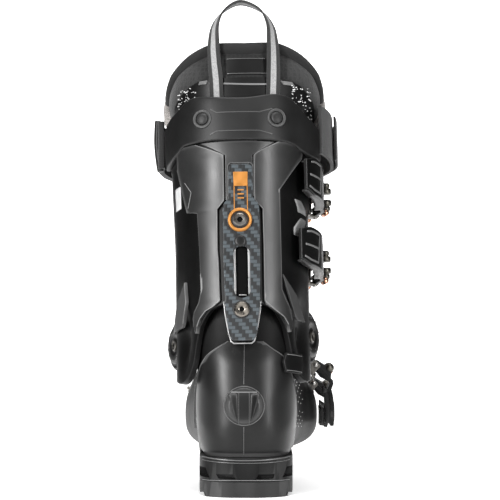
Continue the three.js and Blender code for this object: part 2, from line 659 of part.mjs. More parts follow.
// A plate on the skin with two ears, each with a pin the lever turns on.
function buckleBase(surface, place, plan) {
  let base = prism(thickPath(
    arc(surface, plan.hinge - 8, plan.hinge + 8, 1 + GAP, 4), 2), -15.4, 15.4);
  const low = 1.2 - LEVER.rise;
  const ear = [[-5, low], [5, low], [3.5, 2.5], [-3.5, 2.5]].map(([t, n]) => place(t, n));
  for (const side of [-1, 1]) {
    const [from, to] = [side * 12.6, side * 15.4].sort((a, b) => a - b);
    base = base.add(prism(ear, from, to));
    base = base.add(hingeLine(place, 0, 0, side * 7.8, side * 14, LEVER.pin, 12));
  }
  return base;
}

// A fork from the hinge to a broad curved handle that lies along the skin.
function buckleLever(surface, place, plan) {
  const [hu, hv] = place(0, 0);
  let start = plan.hinge;
  const far = (a) => Math.hypot(surface(a, LEVER.height)[0] - hu, surface(a, LEVER.height)[1] - hv);
  while (far(start) < LEVER.fork + 5) start -= 1;
  const path = [place(-LEVER.fork, 0), ...arc(surface, start, plan.leverEnd, LEVER.height, 5)];
  let lever = prism(thickPath(path, LEVER.thick), -LEVER.half, LEVER.half);
  const cheek = [[3.4, -1.6], [1.6, 3.4], [-LEVER.fork - 1.5, 1.6], [-LEVER.fork - 1.5, -1.6],
    [-13, -3.4], [-8, -4.2], [0, -3.6]].map(([t, n]) => place(t, n));
  for (const w of [-10.7, 8.1]) lever = lever.add(prism(cheek, w, w + 2.6));
  lever = lever.subtract(hingeLine(place, 0, 0, -30, 30, LEVER.pin + GAP, 12));
  return lever.subtract(
    hingeLine(place, -BAIL.back, -BAIL.drop, -30, 30, BAIL.trunnion + GAP, 12));
}

// The barrel turns in the lever's fork on two trunnions and is bored for the bail's rod.
function buckleBarrel(place) {
  const at = [place, -BAIL.back, -BAIL.drop];
  const barrel = hingeLine(...at, -7.6, 7.6, BAIL.barrel, 12)
    .add(hingeLine(...at, -10.6, 10.6, BAIL.trunnion, 8));
  const along = (t) => vec(...place(t, -BAIL.drop), 0);
  return barrel.subtract(rod(along(-20), along(20), BAIL.rod + GAP, 8));
}

// A threaded rod, a cross block and a wire loop that reaches over to the ladder.
function buckleBail(surface, place, plan) {
  const along = (t) => vec(...place(t, -BAIL.drop), 0);
  const block = [[0, -3.6], [5, -3.6], [5, 2], [0, 2]].map(([t, n]) => place(plan.reach + t, n));
  let bail = rod(along(-14), along(plan.reach + 2), BAIL.rod, 8).add(prism(block, -12.4, 12.4));
  const leg = [place(plan.reach + 2.5, -BAIL.drop),
    ...plan.wire.map(([a, offset]) => surface(a, offset)), surface(plan.bar, BAIL.barHeight)];
  const loop = [...leg.map(([u, v]) => vec(u, v, -BAIL.half)),
    ...leg.map(([u, v]) => vec(u, v, BAIL.half)).reverse()];
  for (let i = 0; i + 1 < loop.length; i++) {
    bail = bail.add(rod(loop[i], loop[i + 1], BAIL.wire, 7));
  }
  return bail;
}

// A toothed strip on the other flap; the wire lies between two of its teeth.
function buckleLadder(surface, plan) {
  const { pitch, bar } = plan;
  let ladder = prism(thickPath(arc(surface, bar - 1.9 * pitch, bar + 2.9 * pitch,
    0.8 + GAP, 5), 1.6), -7.5, 7.5);
  for (let k = -1.5; k < 3; k++) {
    const tooth = frameOn(surface, bar + k * pitch, 1);
    ladder = ladder.add(prism([tooth(-1.2, 0), tooth(1.2, 0), tooth(0.9, 4), tooth(-1.2, 4)],
      -7.5, 7.5));
  }
  return ladder;
}

function buckle(plan, { site, surface }, parent) {
  parent.add(site);
  const place = frameOn(surface, plan.hinge, LEVER.rise);
  part(`${plan.name}_base`, buckleBase(surface, place, plan), finish.steel, site);
  part(`${plan.name}_lever`, buckleLever(surface, place, plan), finish.lever, site);
  part(`${plan.name}_barrel`, buckleBarrel(place), finish.steel, site);
  part(`${plan.name}_bail`, buckleBail(surface, place, plan), finish.copper, site);
  part(`${plan.name}_ladder`, buckleLadder(surface, plan), finish.steel, site);
}

lowerShell();
solePlate("heel_sole_plate", HEEL_BACK, HEEL_PLATE_FRONT, HEEL_SCREWS);
solePlate("toe_sole_plate", TOE_PLATE_BACK, TOE_TIP, TOE_SCREWS);
soleScrews("heel_screw", HEEL_SCREWS);
soleScrews("toe_screw", TOE_SCREWS);
linerFoot();
cuff();
anklePivots();
spine();
yoke();
powerStrap();
linerShaft();
pullLoops();
for (const plan of CUFF_BUCKLES) buckle(plan, cuffSite(plan), cuffFrame);
for (const plan of FOOT_BUCKLES) buckle(plan, footSite(plan), boot);

export default boot;
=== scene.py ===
# %% [markdown]
# # An alpine ski boot, built piece by piece
# The boot is a stiff moulded shell on a bolt-on sole, a hinged cuff that leans forward, a
# spine plate that joins the two at the back, four buckles, a strap and a padded liner. The CAD
# model gives every place and every size. It is loaded first, as a fixed frame, and each new
# piece is drawn round it in metres, with +Z up, +Y to the toe and +X to the outer side.

import bpy
import bmesh
import json
import math
import random
from mathutils import Matrix, Vector


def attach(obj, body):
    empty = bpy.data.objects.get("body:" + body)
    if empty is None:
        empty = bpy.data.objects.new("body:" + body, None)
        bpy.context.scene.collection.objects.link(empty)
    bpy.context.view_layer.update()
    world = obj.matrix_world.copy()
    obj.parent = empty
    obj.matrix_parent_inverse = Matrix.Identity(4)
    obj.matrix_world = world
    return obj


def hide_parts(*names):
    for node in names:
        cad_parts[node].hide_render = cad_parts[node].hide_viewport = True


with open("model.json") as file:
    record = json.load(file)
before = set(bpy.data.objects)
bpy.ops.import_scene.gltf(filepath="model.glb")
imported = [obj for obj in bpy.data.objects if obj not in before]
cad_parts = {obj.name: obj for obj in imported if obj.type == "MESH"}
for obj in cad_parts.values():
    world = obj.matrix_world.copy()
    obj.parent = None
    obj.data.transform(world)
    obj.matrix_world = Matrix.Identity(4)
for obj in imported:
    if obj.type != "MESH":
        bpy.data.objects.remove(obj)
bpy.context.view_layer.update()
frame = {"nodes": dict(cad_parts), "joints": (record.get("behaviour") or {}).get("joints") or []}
MM = 0.001

# %% [markdown]
# ## Camera
# The boot is seen level from straight behind, through a long lens, so that the shaft, the heel
# and the sole keep their true proportions. The camera comes first, because every later choice
# is judged through it.

# %% Camera
camera_data = bpy.data.cameras.new("camera")
camera_data.sensor_width = 36
camera_data.lens = 144
camera = bpy.data.objects.new("camera", camera_data)
bpy.context.scene.collection.objects.link(camera)
camera.location = (0.003, -1.538, 0.186)
camera.rotation_euler = (math.radians(90), 0, 0)
bpy.context.scene.camera = camera
print("camera at", tuple(round(c, 3) for c in camera.location))

# %% [markdown]
# ## Floor and light
# A black product needs its light as shapes to mirror. Two tall soft boxes at the sides draw the
# bright streaks down the shaft and the heel, a broad one above lights the top faces, and a weak
# one behind the camera keeps the plastic that faces it from going to pure black. The floor is a
# light table and a lit sheet hangs behind the boot, so that its outline stands on white while
# the room itself stays dim.

# %% Floor and light
def stage_material(name, color, glow):
    """A pale paper that also glows, for what is not part of the boot."""
    made = bpy.data.materials.new(name)
    made.use_nodes = True
    shader = made.node_tree.nodes["Principled BSDF"]
    shader.inputs["Base Color"].default_value = (*color, 1)
    shader.inputs["Roughness"].default_value = 0.9
    shader.inputs["Emission Color"].default_value = (1, 1, 1, 1)
    shader.inputs["Emission Strength"].default_value = glow
    return made


def glow_behind(finish, glow):
    """Lets the floor glow only behind the boot, so that it doesn't light the side that is seen."""
    tree = finish.node_tree
    here = tree.nodes.new("ShaderNodeTexCoord")
    parts = tree.nodes.new("ShaderNodeSeparateXYZ")
    fade = tree.nodes.new("ShaderNodeMapRange")
    for key, value in (("From Min", -0.1), ("From Max", 0.15), ("To Min", 0.12), ("To Max", glow)):
        fade.inputs[key].default_value = value
    tree.links.new(here.outputs["Object"], parts.inputs["Vector"])
    tree.links.new(parts.outputs["Y"], fade.inputs["Value"])
    tree.links.new(fade.outputs["Result"],
                   tree.nodes["Principled BSDF"].inputs["Emission Strength"])


def stage_sheet(name, size, matrix, finish):
    bm = bmesh.new()
    bmesh.ops.create_grid(bm, x_segments=1, y_segments=1, size=size, matrix=matrix)
    mesh = bpy.data.meshes.new(name)
    bm.to_mesh(mesh)
    bm.free()
    made = bpy.data.objects.new(name, mesh)
    bpy.context.scene.collection.objects.link(made)
    mesh.materials.append(finish)
    return made


floor = stage_sheet("floor", 1.2, Matrix.Translation((0, 0.7, 0)),
                    stage_material("floor_paper", (0.9, 0.9, 0.9), 0.8))
glow_behind(floor.data.materials[0], 0.8)
upright = Matrix.Translation((0, 1.9, 0.5)) @ Matrix.Rotation(math.radians(90), 4, "X")
stage_sheet("backdrop", 0.6, upright, stage_material("backdrop_paper", (0.9, 0.9, 0.9), 1.0))


def soft_box(name, place, size, watts):
    """A rectangular studio light at place, turned to look at the boot."""
    data = bpy.data.lights.new(name, "AREA")
    data.shape = "RECTANGLE"
    data.size, data.size_y = size
    data.energy = watts
    lamp = bpy.data.objects.new(name, data)
    bpy.context.scene.collection.objects.link(lamp)
    lamp.location = place
    lamp.rotation_euler = (Vector((0, 0, 0.2)) - Vector(place)).to_track_quat("-Z", "Y").to_euler()


soft_box("left_box", (-0.95, -1.45, 0.55), (0.18, 1.3), 46)
soft_box("right_box", (1.0, -1.4, 0.55), (0.12, 1.3), 24)
soft_box("top_box", (0, -0.3, 1.7), (0.9, 0.6), 20)
soft_box("fill_box", (0.1, -2.4, 0.7), (0.4, 0.4), 1.5)
world = bpy.data.worlds.new("studio")
bpy.context.scene.world = world
world.use_nodes = True
background = world.node_tree.nodes["Background"].inputs
background["Color"].default_value = (1, 1, 1, 1)
background["Strength"].default_value = 0.03
bpy.context.scene.view_settings.view_transform = "Standard"

# %% [markdown]
# ## The forms everything follows
# The shell and the cuff are not boxes or cylinders. Each is a soft form with a formula, and
# every panel, pad and flap on it is a patch of that form. So the two forms are written down
# once, and later pieces only say which patch of the form they cover and how proud they stand.

# %% Curves through points
def through(points, x):
    """A smooth curve through (x, y) points that never overshoots between them."""
    last = len(points) - 1
    if x <= points[0][0]:
        return points[0][1]
    if x >= points[last][0]:
        return points[last][1]
    i = next(k for k in range(last) if points[k + 1][0] > x)

    def slope(k):
        return (points[k + 1][1] - points[k][1]) / (points[k + 1][0] - points[k][0])

    def tangent(k):
        if k in (0, last):
            return slope(min(k, last - 1))
        a, b = slope(k - 1), slope(k)
        return 0 if a * b <= 0 else 2 * a * b / (a + b)

    width = points[i + 1][0] - points[i][0]
    t = (x - points[i][0]) / width
    return ((2 * t**3 - 3 * t**2 + 1) * points[i][1] + (t**3 - 2 * t**2 + t) * width * tangent(i)
            + (3 * t**2 - 2 * t**3) * points[i + 1][1] + (t**3 - t**2) * width * tangent(i + 1))


def straight(points, x):
    """A line through (x, y) points with corners at them."""
    for (x0, y0), (x1, y1) in zip(points, points[1:]):
        if x <= x1:
            return y0 + (y1 - y0) * max(0, (x - x0) / (x1 - x0))
    return points[-1][1]


def squared(wave, n):
    """A sine or cosine raised to 2/n with its sign, as on a superellipse."""
    return math.copysign(abs(wave) ** (2 / n), wave)


def smooth_step(t):
    t = min(1, max(0, t))
    return t * t * (3 - 2 * t)


# %% [markdown]
# ### The cuff's form
# The cuff is a leaning tube with rounded-square corners. Its own frame starts on the ankle
# pivots, and height runs up the leg. The pivot's place comes from the record's joint.

# %% Cuff form
flex = next(j for j in frame["joints"] if j["name"] == "cuff_flex")
ANKLE = Vector(flex["pos_m"])
LEAN, CANT = math.radians(12), math.radians(1)
CUFF = Matrix.Translation(ANKLE) @ Matrix.Rotation(-LEAN, 4, "X") @ Matrix.Rotation(-CANT, 4, "Y")
CUFF_HALF = [(-30, 52.5), (60, 52.5), (115, 54), (190, 57)]
CUFF_BACK, CUFF_FRONT = -72, 57
FLAP_STEP = 3


def cuff_flat(angle, height, proud):
    """The cuff's outline in its own frame, in mm; angle is 0 at the back, + to the outer side."""
    half = through(CUFF_HALF, height) + proud
    depth = (CUFF_FRONT - CUFF_BACK) / 2 + proud
    middle = (CUFF_FRONT + CUFF_BACK) / 2
    turn = math.radians(angle)
    return Vector((half * squared(math.sin(turn), 2.5),
                   middle - depth * squared(math.cos(turn), 2.5), height))


def flap_shift(angle):
    return math.copysign(FLAP_STEP * smooth_step((abs(angle) - 120) / 55), angle)


def leg(x, y, z):
    """A point given in mm in the cuff's frame, in the boot's frame."""
    return CUFF @ (Vector((x, y, z)) * MM)


def on_cuff(angle, height, proud):
    return CUFF @ (cuff_flat(angle, height, proud) * MM)


def cuff_angle(x, height):
    """The angle at which the back of the cuff is x mm from its middle."""
    share = min(1, abs(x) / through(CUFF_HALF, height))
    return math.copysign(math.degrees(math.asin(share ** 1.25)), x)


print("the cuff is", round(2 * through(CUFF_HALF, 60)), "mm wide at mid height")

# %% [markdown]
# ### The foot's form
# The lower shell is swept along the foot like a sock: sections start square-on at the toe and
# fan round the instep until they lie flat at the rim above the ankle. Each section is a rounded
# box that is fuller below than above.

# %% Foot form
FOOT = [
    (256, 48, 256, 27, 15, 16), (252, 58, 253, 20, 31, 32), (242, 66, 244, 17.5, 41, 43),
    (222, 74, 223, 17.5, 48, 52), (195, 82, 195, 17.5, 52, 59), (165, 92, 165, 17.5, 52, 60),
    (138, 106, 131, 17.5, 48, 52), (121, 120, 95, 17.5, 43, 44), (109, 132, 55, 17.5, 39, 39),
    (101, 141, 15, 17.5, 37, 37.5), (96, 146, -22, 22, 37, 37.5), (93, 148, -33, 45, 37, 37.5),
    (91, 149, -33, 72, 38, 38), (89, 150, -29, 98, 41, 39.5), (87, 151, -20, 121, 44.5, 40.5),
    (85, 152, -11, 150, 44, 40), (84, 172, -8, 170, 43.5, 39.5), (84, 190, -5, 190, 43, 39),
]
RIM = 15
WIDEST = 0.6


def foot_section(s):
    return [through([(i, row[c]) for i, row in enumerate(FOOT)], s) for c in range(6)]


def on_foot(s, angle, proud):
    """A point of the foot's form: angle is 0 on the outer side and 90 on the instep."""
    top_y, top_z, foot_y, foot_z, inner, outer = foot_section(s)
    axis = Vector((0, top_y - foot_y, top_z - foot_z))
    length = axis.length
    axis.normalize()
    across, along = math.cos(math.radians(angle)), math.sin(math.radians(angle))
    roundness = 2.3 if along > 0 else through([(9, 3.2), (13, 2.5)], s)
    reach = (WIDEST if along > 0 else 1 - WIDEST) * length + proud
    side = (inner if across < 0 else outer) + proud
    place = Vector((0, top_y, top_z)) - axis * WIDEST * length + axis * reach * squared(along, roundness)
    place.x = side * squared(across, roundness)
    return place * MM


print("the forefoot is", FOOT[5][4] + FOOT[5][5], "mm wide")

# %% [markdown]
# ## Finishes
# Every finish is a small graph of shader nodes. Plastic is never one flat colour: a fine grain
# breaks up its gloss, and broad soft patches make some places a little duller than others. The
# graphs read Object coordinates, which stay fixed to a piece because all pieces sit at the
# origin.

# %% Helpers for shader nodes
class Finish:
    """A material in the making, with its node tree, its shader and its Object coordinates."""

    def __init__(self, name):
        self.material = bpy.data.materials.new(name)
        self.material.use_nodes = True
        self.tree = self.material.node_tree
        self.shader = self.tree.nodes["Principled BSDF"]
        self.here = self.node("TexCoord").outputs["Object"]

    def feed(self, node, inputs):
        """Links each input to a socket, or sets it to a value."""
        for key, value in inputs.items():
            if isinstance(value, bpy.types.NodeSocket):
                self.tree.links.new(value, node.inputs[key])
            else:
                node.inputs[key].default_value = value

    def node(self, kind, inputs=None, **settings):
        made = self.tree.nodes.new("ShaderNode" + kind)
        for key, value in settings.items():
            setattr(made, key, value)
        self.feed(made, inputs or {})
        return made

    def noise(self, scale, detail, **more):
        inputs = {"Vector": self.here, "Scale": scale, "Detail": detail, **more}
        return self.node("TexNoise", inputs).outputs["Fac"]

    def maths(self, operation, a, b=0.0):
        return self.node("Math", {0: a, 1: b}, operation=operation).outputs[0]

    def mix(self, how, one, two, factor=1.0):
        inputs = {"Factor": factor, "A": one, "B": two}
        return self.node("Mix", inputs, data_type="RGBA", blend_type=how).outputs["Result"]

    def ramp(self, factor, stops):
        """A colour ramp between two (place, grey or colour) stops."""
        made = self.node("ValToRGB", {"Fac": factor})
        for element, (place, value) in zip(made.color_ramp.elements, stops):
            element.position = place
            element.color = (*value, 1) if isinstance(value, tuple) else (value, value, value, 1)
        return made.outputs["Color"]

    def spread(self, noise, low, high):
        """The middle of a noise's range stretched to low..high."""
        inputs = {"Value": noise, "From Min": 0.3, "From Max": 0.7, "To Min": low, "To Max": high}
        return self.node("MapRange", inputs).outputs["Result"]

    def surface(self, color, height, strength, depth, levels):
        """Joins colour, bump and other levels to the shader, and gives back the material."""
        bump = self.node("Bump", {"Height": height, "Strength": strength, "Distance": depth})
        self.feed(self.shader, {"Base Color": color, "Normal": bump.outputs["Normal"], **levels})
        return self.material


# %% [markdown]
# ### Moulded plastic
# Injection-moulded plastic comes out of a spark-eroded tool, so its surface is a very fine,
# even grain. The Pointiness of the geometry finds its edges and lifts their colour a little,
# partly as edges worn by use and partly as a painted highlight where they catch the light.

# %% Moulded plastic
def moulded(name, base, rough, grain=0.35, grain_size=0.5, wear_and_highlight=0.05, gloss=0.25):
    """A satin plastic: base grey, roughness, depth and size in mm of its grain, worn edges with a
    painted highlight.
    """
    f = Finish(name)
    fine = f.noise(1 / (grain_size * MM), 3, Roughness=0.6)
    broad = f.noise(28, 4)
    patch = f.ramp(broad, [(0.3, base * 0.82), (0.7, base * 1.15)])
    # Lighter edges: partly worn, partly a painted highlight.
    edge = f.ramp(f.node("NewGeometry").outputs["Pointiness"], [(0.515, 0.0), (0.58, wear_and_highlight)])
    dull = f.spread(broad, rough - 0.05, rough + 0.07)
    return f.surface(f.mix("ADD", patch, edge), fine, grain, 0.00008,
                     {"Roughness": dull, "Specular IOR Level": gloss})


SHELL_BLACK = moulded("shell_black", 0.004, 0.42, wear_and_highlight=0.02, gloss=0.12)
HEEL_BLACK = moulded("heel_black", 0.0065, 0.33, wear_and_highlight=0.04, gloss=0.3)
CUFF_BLACK = moulded("cuff_black", 0.003, 0.4, wear_and_highlight=0.015, gloss=0.18)
# The back panels' base is painted lighter than the cuff's black: a painted sheen. Raised lines on the
# heel, the spine and the liner reuse this grey.
PANEL_GREY_AND_SHEEN = moulded("panel_grey_and_sheen", 0.016, 0.36, wear_and_highlight=0.16, gloss=0.5)
FIN_GREY = moulded("fin_grey", 0.045, 0.42, wear_and_highlight=0.1)
YOKE_GREY = moulded("yoke_grey", 0.009, 0.42, grain=0.5, wear_and_highlight=0.04)
CAP_BLACK = moulded("cap_black", 0.004, 0.3, wear_and_highlight=0.03)
# Pale greys for raised lines; along the panels' and the shield's edges and round the yoke collars they
# are painted highlights.
EDGE_GREY = moulded("edge_grey", 0.12, 0.35)
EDGE_DIM = moulded("edge_dim", 0.035, 0.35)
FLASH_GREY = moulded("flash_grey", 0.14, 0.5)
# Near-black and barely glossy: painted shade in the spine's slot and in the bolt sockets.
SLOT_SHADE_BLACK = moulded("slot_shade_black", 0.0015, 0.6, wear_and_highlight=0.0, gloss=0.05)
DOT_WHITE = moulded("dot_white", 0.62, 0.5)
PAPER = moulded("sticker_paper", 0.5, 0.6)
SOLE_RUBBER = moulded("sole_rubber", 0.012, 0.5, grain=0.8, grain_size=0.8, wear_and_highlight=0.03)
BOARD_RUBBER = moulded("board_rubber", 0.03, 0.8, grain=0.8, grain_size=1.2)
print("plastics", [m.name for m in bpy.data.materials if "grey" in m.name or "black" in m.name])

# %% [markdown]
# ### Metal and woven carbon
# Plated metal is a mirror with tiny stretched scratches, which a noise pulled long in one
# direction gives. Woven carbon is a two-over, two-under twill: strands run both ways, and which
# one is on top depends on the sum of the two strand numbers, so steps run across it diagonally.

# %% Metal
def plated(name, color, rough, metallic=1.0):
    f = Finish(name)
    stretch = f.node("Mapping", {"Vector": f.here, "Scale": (900, 900, 5200)}).outputs["Vector"]
    scratches = f.noise(1, 2, Vector=stretch)
    smudge = f.noise(160, 3)
    tone = f.ramp(smudge, [(0.3, tuple(c * 0.8 for c in color)), (0.7, color)])
    dull = f.spread(smudge, rough - 0.08, rough + 0.1)
    return f.surface(tone, scratches, 0.15, 0.00005, {"Roughness": dull, "Metallic": metallic})


GUNMETAL = plated("gunmetal", (0.2, 0.19, 0.175), 0.32)
DARK_STEEL = plated("dark_steel", (0.12, 0.115, 0.1), 0.36)
BRONZE = plated("bronze_bolt", (0.33, 0.3, 0.26), 0.28)
STEEL = plated("zinc_steel", (0.45, 0.44, 0.42), 0.3)
COPPER = plated("copper_wire", (0.62, 0.33, 0.22), 0.25)
ORANGE = plated("orange_anodised", (0.46, 0.19, 0.035), 0.34, metallic=0.35)
RIM_SILVER = plated("rim_silver", (0.5, 0.5, 0.5), 0.35)


# %% Woven carbon
def carbon_weave(name, strand):
    """Twill of strands that wide, in mm, lying in the plane of the spine plate."""
    f = Finish(name)
    flat = f.node("Mapping", {"Vector": f.here, "Rotation": (LEAN, CANT, 0)}, vector_type="TEXTURE")
    parts = f.node("SeparateXYZ", {"Vector": flat.outputs["Vector"]})
    ways = [f.maths("MULTIPLY", parts.outputs[axis], 1 / (strand * MM)) for axis in "XZ"]
    step = f.maths("ADD", *(f.maths("FLOOR", way) for way in ways))
    over = f.maths("LESS_THAN", f.maths("MODULO", f.maths("ADD", step, 4000.0), 4.0), 2.0)
    # Each strand is a small barrel: high in its middle and low at its edges.
    barrels = [f.maths("SINE", f.maths("MULTIPLY", f.maths("FRACT", way), math.pi)) for way in ways]
    inputs = {"Factor": over, "A": barrels[0], "B": barrels[1]}
    height = f.node("Mix", inputs, data_type="FLOAT").outputs[0]
    # The strands on top are painted lighter than those beneath, a painted reflection of the fibres, and
    # each strand is painted darker towards its edges, a painted shade.
    tone = f.ramp(over, [(0.0, (0.006, 0.007, 0.008)), (1.0, (0.05, 0.062, 0.07))])
    color = f.mix("MULTIPLY", tone, f.ramp(height, [(0.0, 0.35), (0.7, 1.0)]))
    color = f.mix("MULTIPLY", color, f.ramp(f.noise(2500, 2), [(0.3, 0.75), (0.7, 1.15)]))
    return f.surface(color, height, 0.35, 0.0002,
                     {"Roughness": 0.38, "Coat Weight": 0.6, "Coat Roughness": 0.15})


CARBON = carbon_weave("carbon_twill", 2.6)


# %% [markdown]
# ### Cloth
# The liner's outside is a knitted mesh over foam, its collar is a smooth jersey, and the loops
# are woven webbing with a pale stripe. The mesh comes from a Voronoi pattern: the cell edges
# are yarn and the middles are holes, painted darker as shade. The webbing reads the strip's own
# UV map, so that its stripe and its ribs follow the strip wherever it bends.

# %% Knitted cloth
def knitted(name, cell, depth, color, sheen=0.25):
    """Knit in a colour, with cells that big and that deep in mm."""
    f = Finish(name)
    cells = f.node("TexVoronoi", {"Vector": f.here, "Scale": 1 / (cell * MM), "Randomness": 0.25},
                   feature="DISTANCE_TO_EDGE").outputs["Distance"]
    dark, light = (tuple(c * k for c in color) for k in (0.35, 1.25))
    # The yarn is painted lighter and the holes between it darker: painted shade in the holes.
    yarn = f.ramp(cells, [(0.05, light), (0.22, dark)])
    worn = f.ramp(f.noise(40, 3), [(0.3, 0.8), (0.7, 1.1)])
    height = f.maths("ADD", f.maths("MULTIPLY", cells, -1.0), f.noise(1500, 4))
    return f.surface(f.mix("MULTIPLY", yarn, worn), height, 0.5, depth * MM,
                     {"Roughness": 0.9, "Sheen Weight": sheen, "Sheen Roughness": 0.5})


LINER_MESH = knitted("liner_mesh", 3.4, 0.5, (0.008, 0.008, 0.008))
LINER_JERSEY = knitted("liner_jersey", 0.7, 0.12, (0.003, 0.003, 0.003), sheen=0.1)
LINER_LINING = knitted("liner_lining", 1.2, 0.25, (0.32, 0.30, 0.285))


# %% Webbing
def webbing_finish(name, edge, stripe, stripe_half, ribs):
    """Woven strip: U runs 0..1 across it and V along it in metres; ribs is their pitch in mm."""
    f = Finish(name)
    uv = f.node("SeparateXYZ", {"Vector": f.node("UVMap", uv_map="strip").outputs["UV"]})
    off = f.maths("ABSOLUTE", f.maths("SUBTRACT", uv.outputs["X"], 0.5))
    rib = f.maths("SINE", f.maths("MULTIPLY", uv.outputs["Y"], 2 * math.pi / (ribs * MM)))
    thread = f.maths("SINE", f.maths("MULTIPLY", uv.outputs["X"], 2 * math.pi * 14))
    weave = f.maths("MULTIPLY", rib, thread)
    color = f.mix("MIX", (edge, edge, edge, 1), (stripe, stripe, stripe, 1),
                  f.maths("LESS_THAN", off, stripe_half))
    # The weave's hollows are painted darker and its raised threads lighter: painted shade.
    shade = f.ramp(f.maths("ADD", f.maths("MULTIPLY", weave, 0.5), 0.5), [(0.0, 0.45), (1.0, 1.2)])
    worn = f.ramp(f.noise(900, 3), [(0.3, 0.75), (0.7, 1.15)])
    color = f.mix("MULTIPLY", f.mix("MULTIPLY", color, shade), worn)
    return f.surface(color, weave, 0.6, 0.0002, {"Roughness": 0.8, "Sheen Weight": 0.2})


LOOP_WEBBING = webbing_finish("loop_webbing", 0.012, 0.36, 0.21, 0.9)
STRAP_WEBBING = webbing_finish("strap_webbing", 0.007, 0.007, 0.0, 1.1)
print("finishes", len(bpy.data.materials))

# %% [markdown]
# ## From a flat grid to a curved part
# Most pieces here are sheets that lie on a form: a panel, a flap, a pad. Each starts as a flat
# grid, its corners are moved on to the form, and modifiers give it a wall and rounded edges.
# The bevelled edges are what catches the light and makes a moulded part look moulded.


def round_edges(piece, bevel, angle=35, segments=2):
    edge = piece.modifiers.new("edges", "BEVEL")
    edge.width, edge.segments, edge.limit_method = bevel * MM, segments, "ANGLE"
    edge.angle_limit = math.radians(angle)
    piece.modifiers.new("flat faces", "WEIGHTED_NORMAL").keep_sharp = True
    piece.data.shade_smooth()


def dress(bm, name, finish, body, wall=0.0, offset=-1, bevel=0.0, angle=35, segments=3, stands_for=()):
    """Makes the object of a mesh, with a wall, round edges, a finish and a body.

    stands_for names the CAD nodes that the piece is shown in place of.
    """
    mesh = bpy.data.meshes.new(name)
    bm.to_mesh(mesh)
    bm.free()
    piece = bpy.data.objects.new(name, mesh)
    bpy.context.scene.collection.objects.link(piece)
    mesh.materials.append(finish)
    mesh.shade_smooth()
    if wall:
        thick = piece.modifiers.new("wall", "SOLIDIFY")
        thick.thickness, thick.offset, thick.use_even_offset = wall * MM, offset, offset != 0
    if bevel:
        round_edges(piece, bevel, angle, segments)
    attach(piece, body)
    if stands_for:
        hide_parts(*stands_for)
    print(name, len(mesh.vertices), "points")
    return piece


def grid_on(bm, place, columns, rows):
    """A grid moved on to place(u, v), with u and v from 0 to 1."""
    made = bmesh.ops.create_grid(bm, x_segments=columns, y_segments=rows, size=0.5)
    for v in made["verts"]:
        v.co = place(v.co.x + 0.5, v.co.y + 0.5)
    return made["verts"]


def sheet_piece(name, place, columns, rows, finish, body, flip=False, **dressing):
    bm = bmesh.new()
    grid_on(bm, place, columns, rows)
    if flip:
        bmesh.ops.reverse_faces(bm, faces=bm.faces)
    return dress(bm, name, finish, body, **dressing)


def tube_piece(name, place, around, rows, finish, body, merge=0.00002, ends=lambda e: True, **dressing):
    """A grid bent round to meet itself, with u all the way round, and closed at its ends."""
    bm = bmesh.new()
    grid_on(bm, place, around, rows)
    bmesh.ops.remove_doubles(bm, verts=bm.verts, dist=merge)
    bmesh.ops.holes_fill(bm, edges=[e for e in bm.edges if e.is_boundary and ends(e)])
    bmesh.ops.recalc_face_normals(bm, faces=bm.faces)
    return dress(bm, name, finish, body, **dressing)


def across_edges(edges, h, u, curve=straight):
    """x at a share u between the edges at height h; edges are (height, left x, right x)."""
    left, right = (curve([(row[0], row[k]) for row in edges], h) for k in (1, 2))
    return left + (right - left) * u


def back_panel(name, edges, proud, finish, columns=16, step=3.0, **dressing):
    """A panel on the back of the cuff. edges: rows of (height, left x, right x), in mm."""
    heights = [edges[0][0]]
    for (low, *_), (high, *_) in zip(edges, edges[1:]):
        parts = max(1, round(abs(high - low) / step))
        heights += [low + (high - low) * (k + 1) / parts for k in range(parts)]

    def place(u, v):
        h = heights[round(v * (len(heights) - 1))]
        return on_cuff(cuff_angle(across_edges(edges, h, u), h), h, proud)

    return sheet_piece(name, place, columns, len(heights) - 1, finish, "cuff_body", **dressing)


def standing(centre, out):
    """Turns what is drawn round Z so that it stands at centre and points out."""
    return Matrix.Translation(centre) @ Vector(out).to_track_quat("Z", "Y").to_matrix().to_4x4()


def spun(bm, points, steps):
    """Spins (radius, height) points, in metres, about Z."""
    verts = [bm.verts.new((r, 0, h)) for r, h in points]
    edges = [bm.edges.new(pair) for pair in zip(verts, verts[1:])]
    bmesh.ops.spin(bm, geom=verts + edges, axis=(0, 0, 1), cent=(0, 0, 0), angle=2 * math.pi,
                   steps=steps, use_merge=True, use_duplicate=False)


# %% [markdown]
# ## Lower shell
# The shell is one moulding, swept like a sock. A closed grid is moved on to the foot's form,
# its toe is gathered to a point, and a wall is given inwards. The rim above the ankle stays
# open for the foot.

# %% Lower shell
tube_piece("shell_skin", lambda u, v: on_foot(RIM * v, 360 * u, 0), 112, 120, SHELL_BLACK, "shell",
           ends=lambda e: e.verts[0].co.y > 0.2, wall=4.6, bevel=0.8)

# %% [markdown]
# ### Heel counter
# Over the heel the shell carries a raised shield. It narrows to a rounded top under the spine
# and runs down to the sole's ledge. The form is searched for the section at each height, so the
# shield can be drawn as it is seen from behind.

# %% Heel counter
def on_heel(x, z, proud):
    """The point of the shell's back at x and z mm, that far out of the skin."""
    low, high = 9.6, 15.4
    for _ in range(16):
        s = (low + high) / 2
        low, high = (s, high) if heel_point(s, x, 0).z < z * MM else (low, s)
    return heel_point(s, x, proud)


def heel_point(s, x, proud):
    side = foot_section(s)[4 if x < 0 else 5]
    roundness = through([(9, 3.2), (13, 2.5)], s)
    share = min(0.995, abs(x) / side)
    angle = math.degrees(math.acos(share ** (roundness / 2)))
    return on_foot(s, -angle if x >= 0 else 180 + angle, proud)


